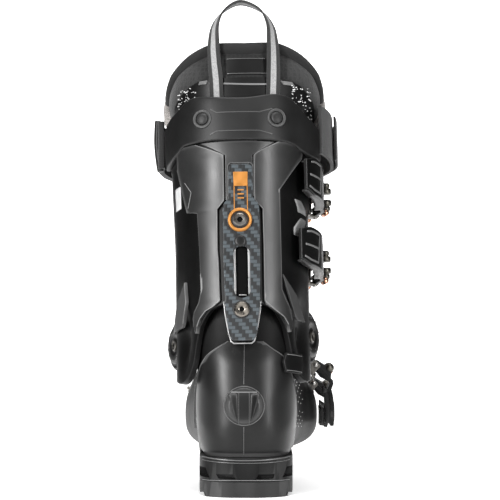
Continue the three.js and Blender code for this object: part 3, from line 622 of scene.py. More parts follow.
SHIELD = [(31, -37, 37.4), (57, -36.8, 37.4), (70, -37, 37), (80, -36.4, 35.6), (95, -34, 32),
          (106, -29, 27), (112, -22, 19), (117.5, -13, 12)]


def shield_place(u, v):
    z = 31 + (117.5 - 31) * v
    x = across_edges(SHIELD, z, u, through)
    dip = 1.6 * math.exp(-((z - 42) / 9) ** 2) * (1 - (x / 38) ** 2)
    return on_heel(x, z, 2.2 - dip)


sheet_piece("heel_counter", shield_place, 44, 50, HEEL_BLACK, "shell", wall=3.4, bevel=1.1)

# %% [markdown]
# ### Heel medallion
# A round inlay lies in the shield inside a groove. A full spin of a small profile makes a ring,
# and its ribs are thin raised lines with a crescent over them. The marks mean nothing: they are
# plain ribs.

# %% Rings and lines on the heel
def ring_at(name, centre, out, radius, profile, finish, body="cuff_body", steps=64, stands_for=()):
    """Spins a profile of (radius share, height) points about the line out of centre."""
    bm = bmesh.new()
    spun(bm, [(radius * r * MM, h * MM) for r, h in profile], steps)
    bmesh.ops.remove_doubles(bm, verts=bm.verts, dist=0.000005)
    bmesh.ops.recalc_face_normals(bm, faces=bm.faces)
    bmesh.ops.transform(bm, matrix=standing(centre, out), verts=bm.verts)
    return dress(bm, name, finish, body, stands_for=stands_for)


def line_on(name, points, width, height, finish, body, out):
    """A raised line of square section through points, standing out along out."""
    up = Vector(out).normalized()
    corners = ((1, -0.6), (1, height), (-1, height), (-1, -0.6))

    def place(u, v):
        i = round(v * (len(points) - 1))
        ahead = points[min(i + 1, len(points) - 1)] - points[max(i - 1, 0)]
        across = ahead.cross(up).normalized() * width / 2
        side, rise = corners[round(4 * u) % 4]
        return points[i] + (across * side + up * rise) * MM

    return tube_piece(name, place, 4, len(points) - 1, finish, body, merge=0.000004,
                      bevel=min(width, height) * 0.25, segments=2)


BEHIND, BEHIND_CUFF = (0, -1, 0.1), (0, -1, 0.2)
BADGE = (-1.4, 70)


def heel_round(name, profile, finish, from_angle=0, to_angle=360, rows=48, stands_for=()):
    """A patch round the medallion's middle; profile is (radius, proud) in mm."""
    bm = bmesh.new()

    def place(u, v):
        turn = math.radians(from_angle + (to_angle - from_angle) * v)
        r, proud = profile[round(u * (len(profile) - 1))]
        return on_heel(BADGE[0] + r * math.cos(turn), BADGE[1] + r * math.sin(turn), proud)

    grid_on(bm, place, len(profile) - 1, rows)
    if to_angle - from_angle == 360:
        bmesh.ops.remove_doubles(bm, verts=bm.verts, dist=0.00002)
    bmesh.ops.recalc_face_normals(bm, faces=bm.faces)
    if sum(f.normal.y * f.calc_area() for f in bm.faces) > 0:
        bmesh.ops.reverse_faces(bm, faces=bm.faces)
    return dress(bm, name, finish, "shell", wall=0.8, stands_for=stands_for)


heel_round("badge_ground", [(0, 2.35), (5, 2.35), (10, 2.35), (13.6, 2.35)], HEEL_BLACK,
           stands_for=("heel_badge", "lower_shell"))
heel_round("badge_rim", [(14.15, 2.3), (14.3, 2.65), (14.6, 2.65), (14.75, 2.3)], EDGE_DIM)
heel_round("badge_crescent", [(10.9, 2.6), (12, 2.7), (13.5, 2.6)], CAP_BLACK, 50, 130, 20)


def heel_line(name, x0, z0, x1, z1, width, proud=2.6, finish=PANEL_GREY_AND_SHEEN, steps=8):
    points = [on_heel(x0 + (x1 - x0) * k / steps, z0 + (z1 - z0) * k / steps, proud)
              for k in range(steps + 1)]
    return line_on(name, points, width, 0.35, finish, "shell", BEHIND)


heel_line("badge_bar", -10.6, 80.4, 7.8, 80.4, 0.8, finish=EDGE_GREY)
for side in (-1, 1):
    x = BADGE[0] + 3.7 * side
    heel_line(f"badge_rib_{side}", x, 56.8, x, 80.2, 0.6, finish=EDGE_DIM)

    def wedge(u, v, side=side):
        return on_heel(BADGE[0] + side * (4.4 + u * (0.8 + 6.4 * v)), 59 + 20.4 * v, 2.62)

    sheet_piece(f"badge_wedge_{side}", wedge, 4, 12, CAP_BLACK, "shell", flip=side > 0, wall=0.5)
heel_line("heel_seam_high", -1.6, 86, -1.2, 117, 0.4, proud=2.1)
heel_line("heel_seam_low", -1.6, 54.5, -1.6, 33, 0.4, proud=1.5)
# Pale lines along the shield's two edges are painted highlights.
for side in (0, 1):
    points = [shield_place(side * 0.998 + 0.001, k / 40) for k in range(41)]
    line_on(f"shield_edge_highlight_{side}", points, 0.7, 0.25, EDGE_DIM, "shell", BEHIND)

# %% [markdown]
# ## Sole
# The boot stands on two bolt-on plates, and the shell has a lug above each for the binding's
# jaws. An outline that is round at the heel and the toe is filled, extruded upwards and given
# rounded edges. Notches are cut with a Boolean against small wedges, as a mould's inserts would
# leave them.

# %% Sole outlines
SOLE_BACK, SOLE_TIP, SOLE_HALF = -38, 268, 35.6


def sole_half(y, inset=0.0):
    half = through([(40, SOLE_HALF), (95, 30), (165, SOLE_HALF)], y)
    heel = min(1, max(0, (SOLE_BACK + 30 - y) / (30 - inset)))
    toe = min(1, max(0, (y - (SOLE_TIP - 62)) / (62 - inset)))
    return (half - inset) * (1 - heel ** 2.6) ** (1 / 2.6) * (1 - toe ** 2.3) ** (1 / 2.3)


def sole_slab(bm, start, end, low, high, inset=0.0, rows=48):
    """A slab of the sole between two places along it and two heights."""
    start, end = max(start, SOLE_BACK + inset), min(end, SOLE_TIP - inset)

    def place(u, v):
        y = start + (end - start) * (1 - math.cos(math.pi * v)) / 2
        return Vector(((2 * u - 1) * max(sole_half(y, inset), 0.6), y, low)) * MM

    grid = grid_on(bm, place, 8, rows)
    raise_faces(bm, list({f for v in grid for f in v.link_faces}), (0, 0, (high - low) * MM))


def raise_faces(bm, faces, shift):
    """Extrudes faces along shift into a closed solid."""
    made = bmesh.ops.extrude_face_region(bm, geom=faces, use_keep_orig=True)["geom"]
    bmesh.ops.translate(bm, vec=shift, verts=[g for g in made if isinstance(g, bmesh.types.BMVert)])
    bmesh.ops.recalc_face_normals(bm, faces=bm.faces)


def cut(piece, name, blocks):
    """Cuts blocks (x0, x1, x2, x3, y0, y1, z0, z1) out; x0..x1 at the bottom, x2..x3 on top."""
    bm = bmesh.new()
    for x0, x1, x2, x3, y0, y1, z0, z1 in blocks:
        for v in bmesh.ops.create_cube(bm, size=2)["verts"]:
            low = v.co.z < 0
            x = (x0 if low else x2) if v.co.x < 0 else (x1 if low else x3)
            v.co = Vector((x, y0 if v.co.y < 0 else y1, z0 if low else z1)) * MM
    mesh = bpy.data.meshes.new(name)
    bm.to_mesh(mesh)
    bm.free()
    tool = bpy.data.objects.new(name, mesh)
    bpy.context.scene.collection.objects.link(tool)
    boolean = piece.modifiers.new("cuts", "BOOLEAN")
    boolean.operation, boolean.object, boolean.solver = "DIFFERENCE", tool, "EXACT"
    boolean.use_self = True
    bpy.context.view_layer.update()
    graph = bpy.context.evaluated_depsgraph_get()
    cut_mesh = bpy.data.meshes.new_from_object(piece.evaluated_get(graph))
    piece.modifiers.clear()
    piece.data = cut_mesh
    bpy.data.objects.remove(tool)


# %% Heel lug and sole plates
bm = bmesh.new()
sole_slab(bm, SOLE_BACK, 62, 12, 30)
heel_lug = dress(bm, "heel_lug", SHELL_BLACK, "shell")
cut(heel_lug, "lug_cuts", [
    (-20.5, -7.5, -22.8, -10, -50, -33, 14.2, 17.6), (7.5, 20.5, 9.3, 21.6, -50, -33, 14.2, 17.6),
    (-45, -27.5, -45, -30.5, -50, -12, 14.5, 21.8), (27.8, 45, 30.8, 45, -50, -12, 14.8, 22.4)])
round_edges(heel_lug, 0.5)
bm = bmesh.new()
sole_slab(bm, 40, 175, 12, 24, inset=2)
sole_slab(bm, 150, SOLE_TIP, 12, 19)
dress(bm, "arch_and_toe_lug", SHELL_BLACK, "shell", bevel=0.6, segments=2)

for name, start, end in (("heel", SOLE_BACK, 38), ("toe", 150, SOLE_TIP)):
    bm = bmesh.new()
    sole_slab(bm, start, end, 0, 11.7)
    plate = dress(bm, f"{name}_plate", SOLE_RUBBER, "shell")
    treads = []
    for y in range(start + 12, end - 8, 14):
        if abs(y) >= 8:
            treads += [(side * 24 - 14, side * 24 + 14, side * 24 - 14, side * 24 + 14,
                        y - 1.5, y + 1.5, -1, 2.5) for side in (-1, 1)]
    if name == "heel":
        treads += [(-45, -31.2, -45, -32, -50, 0, -1, 3), (31.2, 45, 32, 45, -50, 0, -1, 3)]
    cut(plate, "tread_cuts", treads)
    round_edges(plate, 0.45)
    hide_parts(f"{name}_sole_plate")
print("sole height", round(max(v.co.z for v in heel_lug.data.vertices), 4))


# %% Lines on the heel's ledge
def lug_line(name, z, sag, width, proud, finish):
    points = []
    for k in range(33):
        x = -33.2 + 66.4 * k / 32
        share = min(1, abs(x) / SOLE_HALF)
        y = SOLE_BACK + 30 - 30 * (1 - share ** 2.6) ** (1 / 2.6)
        points.append(Vector((x, y - proud, z - sag * (1 - share ** 2))) * MM)
    line_on(name, points, width, 0.5, finish, "shell", BEHIND)


lug_line("ledge_line", 30.2, 2.2, 0.8, 0.1, PANEL_GREY_AND_SHEEN)
lug_line("ledge_line_low", 27.6, 1.6, 0.5, 0.0, PANEL_GREY_AND_SHEEN)
lug_line("plate_line", 12.2, -0.9, 0.5, 0.0, EDGE_GREY)

# %% [markdown]
# ## Cuff
# The cuff is a tall wrap of the same plastic, open in front, where one flap runs over the
# other. Its lower edge drops at the ankles, to carry the pivots, and rises behind, where the
# shell's heel shows. The wall is a grid on the cuff's form between a low and a high edge, with
# a dent beside each pivot, where the pivot's disc stands at an angle.

# %% Cuff wall
CUFF_LOW = [(0, 22), (20, 17), (33, 4), (38, -8), (43, -24), (52, -34), (62, -36), (90, -30),
            (108, -24), (128, 4), (150, 38), (180, 50), (190, 50)]
CUFF_HIGH = [(0, 176), (45, 172), (90, 160), (140, 151), (190, 149)]


def cuff_place(u, v):
    angle = -190 + 380 * u
    low, high = through(CUFF_LOW, abs(angle)), through(CUFF_HIGH, abs(angle))
    height = low + (high - low) * v
    dent = 7.5 * math.exp(-((abs(angle) - 62) / 14) ** 2 - (height / 24) ** 2)
    return on_cuff(angle, height, flap_shift(angle) - dent)


sheet_piece("cuff_wall", cuff_place, 170, 40, CUFF_BLACK, "cuff_body", wall=5, bevel=0.8,
            stands_for=("cuff",))

# %% [markdown]
# ### Raised panels on the back
# Two smooth satin panels lie on the cuff's back, one each side of the spine. They are wide at
# the top, where a V of two edges runs in to the spine, then go straight down its sides and end
# in horns round its tail. Their chamfers are lit from the side and draw the cuff's whole
# character.

# %% Back panels
LEFT_PANEL = [(-1, -34.4, -33.6), (4.5, -35.5, -33), (10, -36.2, -31), (15, -35, -26.8),
              (18, -33.4, -21.5), (22.4, -31.2, -16.4), (30, -29.9, -16.4), (54, -30.4, -16.8),
              (62, -30.6, -17.6), (92, -32, -17.6), (93.5, -39.3, -17.4), (99.8, -40.6, -12.4),
              (130, -46.7, -12.4), (135.7, -46.8, -12.6), (146, -47, -33)]
RIGHT_PANEL = [(-1, 34.2, 34.8), (4.5, 33, 36), (10, 30, 36), (15.4, 22.5, 35.4), (19, 17.5, 33.4),
               (22.4, 16.2, 31.5), (31, 16.2, 28.7), (62, 16.3, 28.5), (93, 16, 28.3),
               (99.8, 10.2, 28.2), (109, 10, 28.4), (135.7, 10.2, 44.2), (138, 12.6, 45.9),
               (147, 28.5, 46.8)]
# The panels' lighter grey is a painted sheen.
for name, edges in (("left", LEFT_PANEL), ("right", RIGHT_PANEL)):
    back_panel(f"back_panel_{name}", edges, 3.0, PANEL_GREY_AND_SHEEN, wall=3.6, bevel=0.9, segments=2,
               angle=32)
BRIDGE = [(100.5, -11.4, 9.4), (136, -11.4, 9.4), (147, -30.5, 26.5)]
back_panel("back_bridge", BRIDGE, 1.2, PANEL_GREY_AND_SHEEN, wall=2, bevel=0.5)

def dense(points, step):
    """More points on the straight lines between flat points, a step of mm apart."""
    fine = []
    for (x0, h0), (x1, h1) in zip(points, points[1:]):
        parts = max(1, round(math.hypot(x1 - x0, h1 - h0) / step))
        fine += [(x0 + (x1 - x0) * k / parts, h0 + (h1 - h0) * k / parts) for k in range(parts)]
    return fine + [points[-1]]


def cuff_line(name, points, width, height, finish=EDGE_GREY, proud=3.0):
    """A raised line over (x, height) points on the cuff's back."""
    along = [on_cuff(cuff_angle(x, h), h, proud) for x, h in dense(points, 3)]
    return line_on(name, along, width, height, finish, "cuff_body", BEHIND_CUFF)


# Pale raised lines along the panels' chamfers are painted highlights, brighter on the inner ones than on
# the outer ones.
for name, finish, points in (
        ("left_inner", EDGE_GREY, [(-32.9, 145.6), (-12.4, 135.9), (-12.4, 99.8), (-17.5, 93.4),
                                   (-17.6, 62), (-16.4, 22.6)]),
        ("left_outer", EDGE_DIM, [(-46.6, 130), (-39.6, 94), (-32.2, 92)]),
        ("left_horn", EDGE_DIM, [(-29.9, 30), (-31.4, 22.4), (-35, 15), (-35.4, 4.5)]),
        ("right_inner", EDGE_GREY, [(28.4, 146.6), (12.6, 137.4), (10.2, 135.4), (10.1, 100.2),
                                    (16, 93.2), (16.3, 62), (16.2, 22.6)]),
        ("right_outer", EDGE_DIM, [(45.7, 137.6), (28.4, 109), (28.5, 31), (33.4, 19), (35.6, 8)]),
        ("left_arch", EDGE_GREY, [(-16.6, 22), (-21.6, 18), (-26.8, 15.2), (-31, 10), (-33.2, 4)]),
        ("right_arch", EDGE_GREY, [(16.4, 22), (22.6, 15.6), (29.8, 10.2), (33, 4.5)])):
    cuff_line(f"panel_edge_highlight_{name}", points, 0.55, 0.12, finish, proud=2.95)
# A pale line down the outer side of the left panel's head is a painted highlight on a second facet.
cuff_line("facet_highlight_left_a", [(-41, 117.8), (-36.2, 109)], 0.5, 0.25)
cuff_line("facet_highlight_left_b", [(-36.2, 109), (-38.6, 97)], 0.5, 0.25)

# %% [markdown]
# ### Fins and brackets
# A long blade flanks the panels on each side, with its tip upwards. The outer one ends over a
# small bracket that guards the pivot.

# %% Fins
LEFT_FIN = [(6, -52.2, -44.8), (9, -52.3, -43.8), (25, -49.5, -41.4), (40.5, -42.9, -42.4)]
RIGHT_FIN = [(9, 40.2, 45.8), (12, 38.4, 44.8), (28, 34.2, 39.8), (43, 29.4, 30.2)]
for name, edges, proud in (("left", LEFT_FIN, 1.9), ("right", RIGHT_FIN, 2.4)):
    back_panel(f"fin_{name}", edges, proud, FIN_GREY, columns=6, wall=2.2, bevel=0.5)
cuff_line("fin_line", [(-44.4, 9), (-42, 25), (-42.8, 40)], 0.45, 0.2, proud=2.0)
back_panel("pivot_bracket", [(-32, 31, 43), (-24, 29.6, 44), (-17, 31.5, 44)], 2.0, CUFF_BLACK,
           columns=6, wall=3, bevel=0.6)
cuff_line("bracket_line_low", [(31.4, -30.6), (42.6, -30.6)], 0.5, 0.25, proud=2.1)
cuff_line("bracket_line_high", [(32, -18.4), (43, -18.4)], 0.5, 0.25, proud=2.1)

# %% [markdown]
# ## Spine
# A plate of woven carbon joins the cuff to the heel. It lies in the channel between the panels,
# with a long slot in its middle. Each half is a grid between the slot's edge and the plate's
# edge. The halves meet above and below the slot, and they are merged there into one plate with
# a true hole.

# %% Carbon plate
SPINE_BACK, SPINE_THICK = -73.2, 3.0
SPINE_HALF = [(-9, 7), (-7, 9.4), (-3, 10.8), (20, 13.2), (50, 13.9), (94, 13.9), (97, 13.2),
              (101, 9.8), (104, 9.4), (124, 9.2), (127, 8.4), (128, 7.2)]
SLOT_LOW, SLOT_HIGH, SLOT_HALF = 23.6, 63.8, 6.2


def slot_half(height):
    """Half the slot's width: round ends of a large radius, straight sides."""
    if not SLOT_LOW < height < SLOT_HIGH:
        return 0.0
    inside = min(height - SLOT_LOW, SLOT_HIGH - height, SLOT_HALF)
    return math.sqrt(max(0.0, SLOT_HALF ** 2 - (SLOT_HALF - inside) ** 2))


spine_rows = sorted({-9 + 1.5 * k for k in range(92) if -9 + 1.5 * k <= 128} | {128.0}
                    | {SLOT_LOW + d for d in (0, 0.15, 0.6, 1.3, 2.4, 4, 6.2)}
                    | {SLOT_HIGH - d for d in (0, 0.15, 0.6, 1.3, 2.4, 4, 6.2)})
bm = bmesh.new()
for side in (-1, 1):
    def half_place(u, v):
        h = spine_rows[round(v * (len(spine_rows) - 1))]
        inner, outer = slot_half(h), straight(SPINE_HALF, h)
        return leg(side * (inner + (outer - inner) * u), SPINE_BACK - SPINE_THICK, h)

    half = grid_on(bm, half_place, 5, len(spine_rows) - 1)
    if side > 0:
        bmesh.ops.reverse_faces(bm, faces=list({f for v in half for f in v.link_faces}))
bmesh.ops.remove_doubles(bm, verts=bm.verts, dist=0.00001)
bmesh.ops.recalc_face_normals(bm, faces=bm.faces)
if sum(f.normal.y for f in bm.faces) > 0:
    bmesh.ops.reverse_faces(bm, faces=bm.faces)
dress(bm, "spine_carbon", CARBON, "cuff_body", wall=SPINE_THICK, bevel=0.5, segments=2,
      stands_for=("spine_plate",))

# %% [markdown]
# ### Slot, rim and tab
# The slot's sides are lined by a pale bevelled frame over a floor painted near-black, a painted
# shade in the slot; a light rim follows the plate's tail, and an orange tab lies on its tongue,
# with two thin orange lines down to the ring.

# %% Outlines on the spine
def back_line(name, points, width, height, finish, depth=1.2):
    """A raised line over flat (x, height) points, that far out of the spine's back face."""
    along = [leg(x, SPINE_BACK - depth, h) for x, h in dense(points, 1.5)]
    return line_on(name, along, width, height, finish, "cuff_body", BEHIND_CUFF)


def slab(name, low, high, half, depths, finish, bevel=0.3, middle=0.0, stands_for=()):
    """A small upright block on the spine.

    half is its half width at its foot and at its head; depths are those of its front and its
    back, measured out of the spine's seat.
    """
    bm = bmesh.new()
    for v in bmesh.ops.create_cube(bm, size=2)["verts"]:
        v.co = leg(middle + v.co.x * half[v.co.z > 0], SPINE_BACK - depths[v.co.y < 0],
                   low if v.co.z < 0 else high)
    return dress(bm, name, finish, "cuff_body", bevel=bevel, stands_for=stands_for)


# The slot's floor is painted near-black: painted shade in the slot.
slab("slot_floor", 24.1, 63.3, (5.6, 5.6), (-1.2, -0.3), SLOT_SHADE_BLACK, stands_for=("spine_slot_frame",))
for side in (-1, 1):
    slab(f"slot_side_{side}", 26.6, 63.3, (0.75, 0.75), (0, 2.4), RIM_SILVER, bevel=0.25,
         middle=side * 5.35)
back_line("slot_step", [(-2.6, 26.2), (3.2, 26.2)], 0.7, 0.4, RIM_SILVER, depth=0.9)
back_line("spine_tail_rim", [(-14.2, 21), (-13.4, 12), (-11.2, -1), (-9.2, -9.2), (-7, -11), (6.4, -11),
                             (8.6, -9.2), (10.6, -1), (13, 12), (14, 21)], 0.9, 0.9, RIM_SILVER)
slab("spine_tab", 110.4, 121.6, (5.3, 5.6), (3, 4.1), ORANGE, bevel=0.35, stands_for=("spine_marker",))
for side in (-1, 1):
    back_line(f"spine_orange_line_{side}", [(5.0 * side, 90), (5.0 * side, 121)], 0.7, 0.5, ORANGE,
              depth=SPINE_THICK)
for k in range(3):
    slab(f"spine_dash_{k}", 100.6 + 3.2 * k, 101.6 + 3.2 * k, (2.4, 2.4), (3, 3.4), ORANGE, bevel=0.12)
back_line("tongue_rim", [(-9.8, 103), (-9.6, 127.4), (-7.6, 129.2), (7.6, 129.2), (9.6, 127.4),
                         (9.8, 103)], 0.7, 0.6, PANEL_GREY_AND_SHEEN, depth=1.4)

# %% [markdown]
# ### Ring and bolts
# The cuff's bolt sits in an orange ring on a dark washer. Its head is turned with a chamfer and
# a hexagon socket. Under the ring there is a round cap, and the lower bolt goes to the shell.

# %% Turned parts on the back
OUT_OF_BACK = CUFF.to_3x3() @ Vector((0, -1, 0))


def on_back(x, height, out=0.0):
    return leg(x, SPINE_BACK - SPINE_THICK - out, height)


def bolt_head(name, centre, out, radius, tall, finish, body="cuff_body", socket=0.34, stands_for=()):
    """A turned head with a chamfer and a hexagon socket, spun and then pressed in."""
    bm = bmesh.new()
    profile = [(1, -0.4), (1, tall * 0.62), (0.84, tall), (socket * 1.35, tall),
               (socket * 1.15, tall * 0.92), (socket, tall * 0.3), (0, tall * 0.22)]
    spun(bm, [(radius * r * MM, h * MM) for r, h in profile], 48)
    bmesh.ops.remove_doubles(bm, verts=bm.verts, dist=0.000005)
    flat = math.pi / 6  # half the angle of one side of the hexagon
    for v in bm.verts:
        if 0 < math.hypot(v.co.x, v.co.y) < socket * 1.2 * radius * MM:
            turn = math.atan2(v.co.y, v.co.x) % (2 * flat) - flat
            shrink = math.cos(flat) / math.cos(turn)
            v.co.x, v.co.y = v.co.x * shrink, v.co.y * shrink
    bmesh.ops.recalc_face_normals(bm, faces=bm.faces)
    bmesh.ops.transform(bm, matrix=standing(centre, out), verts=bm.verts)
    piece = dress(bm, name, finish, body, stands_for=stands_for)
    piece.data.set_sharp_from_angle(angle=math.radians(30))
    # A near-black disc halfway down the socket is painted shade.
    ring_at(f"{name}_socket_shade", centre, out, radius * socket * 0.97,
            [(0, tall * 0.5), (0.5, tall * 0.5), (0.9, tall * 0.5), (0.97, tall * 0.3)],
            SLOT_SHADE_BLACK, body, steps=24)
    return piece


HIGH_BOLT, LOW_BOLT = (-0.9, 84), (-0.6, 14.6)
ring_at("spine_ring_orange", on_back(*HIGH_BOLT), OUT_OF_BACK, 9.3,
        [(0.745, -0.2), (0.745, 1.2), (0.79, 2.0), (0.9, 2.3), (0.97, 1.9), (1.0, 1.0), (1.0, -0.2)],
        ORANGE, stands_for=("spine_ring",))
ring_at("ring_washer", on_back(*HIGH_BOLT), OUT_OF_BACK, 6.9,
        [(0.45, 1.2), (0.6, 1.25), (0.98, 0.9), (1.0, -0.2)], CAP_BLACK)
bolt_head("spine_bolt_high", on_back(*HIGH_BOLT, 0.6), OUT_OF_BACK, 5.0, 1.4, GUNMETAL, socket=0.42,
          stands_for=("spine_bolt_upper",))
ring_at("spine_cap", on_back(-0.9, 67.6), OUT_OF_BACK, 4.6,
        [(0, 1.4), (0.6, 1.35), (0.85, 1.1), (1.0, 0.4), (1.0, -0.2)], CAP_BLACK)
ring_at("lower_washer", on_back(*LOW_BOLT), OUT_OF_BACK, 6.9,
        [(0.7, 0.5), (0.9, 0.6), (1.0, 0.3), (1.0, -0.2)], CAP_BLACK)
bolt_head("spine_bolt_low", on_back(*LOW_BOLT, 0.3), OUT_OF_BACK, 5.7, 2.0, BRONZE,
          stands_for=("spine_bolt_lower",))

# %% [markdown]
# ## Strap yoke
# A thick flexible yoke is bolted across the top of the cuff and carries the power strap. Its
# outline rises to two peaks over the bolts. Shallow contour lines are moulded in it.

# %% Yoke
YOKE_LOW = [(-84, 137), (-68, 138), (-52, 142), (-42, 146.5), (0, 147.5), (28, 147), (42, 145.5),
            (50, 142), (60, 139.5), (76, 138.5)]
YOKE_HIGH = [(-84, 168), (-68, 172), (-49, 177), (-37, 182.5), (-30, 184), (0, 181.5), (24, 185),
             (34, 184), (46, 178), (56, 171), (76, 163)]


def yoke_place(u, v):
    angle = -84 + 160 * u
    bottom, top = through(YOKE_LOW, angle), through(YOKE_HIGH, angle)
    lifted = 6 * smooth_step((angle - 40) / 36)
    height = bottom + (top - bottom) * v
    crown = 0.9 * math.sin(math.pi * v) ** 0.7
    return on_cuff(angle, height, 3.9 + lifted + crown)


sheet_piece("yoke", yoke_place, 90, 16, YOKE_GREY, "cuff_body", wall=4.4, bevel=1.3,
            stands_for=("strap_yoke",))
for side, word in ((-1, "inner"), (1, "outer")):
    seat = on_cuff(23 * side, 165, 4.4)
    turn = math.radians(side * 15)
    out = CUFF.to_3x3() @ Vector((math.sin(turn), -math.cos(turn), 0))
    ring_at(f"yoke_collar_{side}", seat, out, 7.6,
            [(0.66, 0.2), (0.66, 1.4), (0.8, 1.9), (0.93, 1.5), (1.0, 0.6), (1.0, -0.4)],
            YOKE_GREY, stands_for=(f"yoke_collar_{word}",))
    # A pale ring round each collar's rim is a painted highlight.
    ring_at(f"yoke_collar_highlight_{side}", seat, out, 7.0,
            [(0.93, 1.2), (0.95, 1.9), (1.0, 1.8), (1.02, 1.2)], EDGE_DIM)
    ring_at(f"yoke_bolt_{side}", seat, out, 4.6,
            [(0, 2.9), (0.45, 2.85), (0.75, 2.6), (0.95, 2.0), (1.0, 1.2), (1.0, -0.3)],
            YOKE_GREY, stands_for=(f"yoke_bolt_{word}",))
cuff_line("yoke_contour_high", [(-20.7, 172.4), (-16.2, 169.3), (14.4, 169.3), (23.6, 172.4)], 0.7, 0.3,
          EDGE_DIM, proud=4.6)
cuff_line("yoke_contour_low", [(-21.1, 152.1), (-16.4, 154.5), (14.1, 154.5), (23.2, 152.1)], 0.7, 0.3,
          EDGE_DIM, proud=4.6)
back_panel("yoke_recess", [(143.6, -12.1, 10.1), (148.2, -16.6, 13.2)], 0.5, CAP_BLACK, wall=1,
           columns=8)

# %% [markdown]
# ## Liner
# The liner is a padded boot inside the boot. Its collar stands above the cuff with a rolled
# edge, so it is drawn as one closed section, up the outside, over the roll and down the inside,
# and the section is swept round the leg. The foam swells between its seams. The foot of the
# liner is a sock on the shell's form, a little smaller.

# %% Liner collar and shaft
SHAFT_HALF = [(0, 44), (150, 45), (172, 52), (184, 59), (196, 60.5), (207, 59.5), (214, 56.5),
              (222, 52), (230, 43), (234, 38)]
SHAFT_BACK = [(0, -63.5), (170, -63.5), (200, -67.5), (232, -68)]
SHAFT_FRONT = [(0, 45), (140, 45), (160, 49), (232, 51)]
SHAFT_HIGH = [(0, 228), (24, 229), (40, 226), (60, 219), (85, 205), (115, 197), (142, 192)]


def on_shaft(angle, height, proud):
    half = through(SHAFT_HALF, height) + proud
    back = through(SHAFT_BACK, height) - proud
    front = through(SHAFT_FRONT, height) + proud
    turn = math.radians(angle)
    return leg(0.022 * height + half * squared(math.sin(turn), 2.4),
               (back + front) / 2 - (front - back) / 2 * squared(math.cos(turn), 2.4), height)


def shaft_angle(x, height):
    share = min(0.999, abs(x - 0.022 * height) / through(SHAFT_HALF, height))
    return math.copysign(math.degrees(math.asin(share ** 1.2)), x - 0.022 * height)


def padded_profile(v, low, high, thick):
    """(proud, height) round a pad's section: up the outside, over the top, down the inside."""
    roll = thick / 2
    if v < 0.46:
        t = v / 0.46
        return 0.9 * math.sin(math.pi * t) ** 0.6 * (t > 0.5), low + (high - roll - low) * t
    if v < 0.56:
        turn = math.pi * (v - 0.46) / 0.1
        return -roll + roll * math.cos(turn), high - roll + roll * math.sin(turn)
    t = min(1, (v - 0.56) / 0.42)
    return -thick - 0.5 * math.sin(math.pi * t), high - roll - (high - roll - low) * t


def shaft_place(u, v):
    angle = -142 + 284 * u
    reach = min(60, abs((through(SHAFT_BACK, 60) + through(SHAFT_FRONT, 60)) / 2
                        - 54 * squared(math.cos(math.radians(angle)), 2.4)))
    low = math.sqrt(67 ** 2 - reach ** 2)
    high = through(SHAFT_HIGH, abs(angle))
    proud, height = padded_profile(v % 1, low, high, 7.5)
    return on_shaft(angle, height, proud)


liner = tube_piece("liner_collar", shaft_place, 120, 110, LINER_MESH, "cuff_body",
                   stands_for=("liner_shaft",))
sock = tube_piece("liner_sock", lambda u, v: on_foot(1 + 14 * v, 360 * u, -6), 72, 80, LINER_MESH,
                  "shell", ends=lambda e: e.verts[0].co.y > 0.15, wall=6, bevel=1.5,
                  stands_for=("liner_foot",))


def tongue_place(u, v):
    """The tongue's section: a pad between the two flaps, with a crown across it."""
    angle = 143 + 74 * u
    top = 226 - 14 * (2 * u - 1) ** 2
    proud, height = padded_profile(v % 1, 67, top, 7.5)
    return on_shaft(angle, height, proud + 1.5 * math.sin(math.pi * u) - 0.8)


tongue = tube_piece("tongue", tongue_place, 40, 90, LINER_JERSEY, "cuff_body",
                    stands_for=("liner_tongue",))

# %% [markdown]
# ### What is sewn on the liner
# A rolled binding follows the collar's edge. Below it are a smooth moulded panel with two
# clusters of pale printed dots, two reflective bars, a line of piping and a plain woven label.
# The pale lining shows as a band at each side, where the front edges turn out.

# %% Liner details
def tube_through(name, points, radius, finish, body, around=12, squash=1.0, stands_for=()):
    """A round tube along points, closed at both ends."""
    last = len(points) - 1

    def place(u, v):
        i = round(v * last)
        ahead = (points[min(i + 1, last)] - points[max(i - 1, 0)]).normalized()
        side = ahead.cross(Vector((0.02, 0.03, 1)) if abs(ahead.z) < 0.9 else Vector((0, 1, 0)))
        side.normalize()
        up = side.cross(ahead)
        turn = 2 * math.pi * u
        return points[i] + (side * math.cos(turn) + up * math.sin(turn) * squash) * radius * MM

    return tube_piece(name, place, around, last, finish, body, merge=0.000004, stands_for=stands_for)


rim = []
for k in range(121):
    angle = -140 + 280 * k / 120
    rim.append(on_shaft(angle, through(SHAFT_HIGH, abs(angle)) - 5.5, 0.4))
tube_through("collar_binding", rim, 3.1, LINER_JERSEY, "cuff_body", around=16, squash=1.5)


def shaft_panel(name, edges, proud, finish, columns=40, step=2.0, **dressing):
    """A patch on the back of the liner; edges are (height, left x, right x) in mm."""
    low, high = edges[0][0], edges[-1][0]

    def place(u, v):
        h = low + (high - low) * v
        return on_shaft(shaft_angle(across_edges(edges, h, u), h), h, proud)

    rows = max(2, round((high - low) / step))
    sheet_piece(name, place, columns, rows, finish, "cuff_body", **dressing)


def add_dot(bm, centre, out, radius):
    """A small flat disc at centre, facing out."""
    made = bmesh.ops.create_circle(bm, cap_ends=True, segments=8, radius=radius * MM)["verts"]
    bmesh.ops.transform(bm, matrix=standing(centre, out), verts=made)


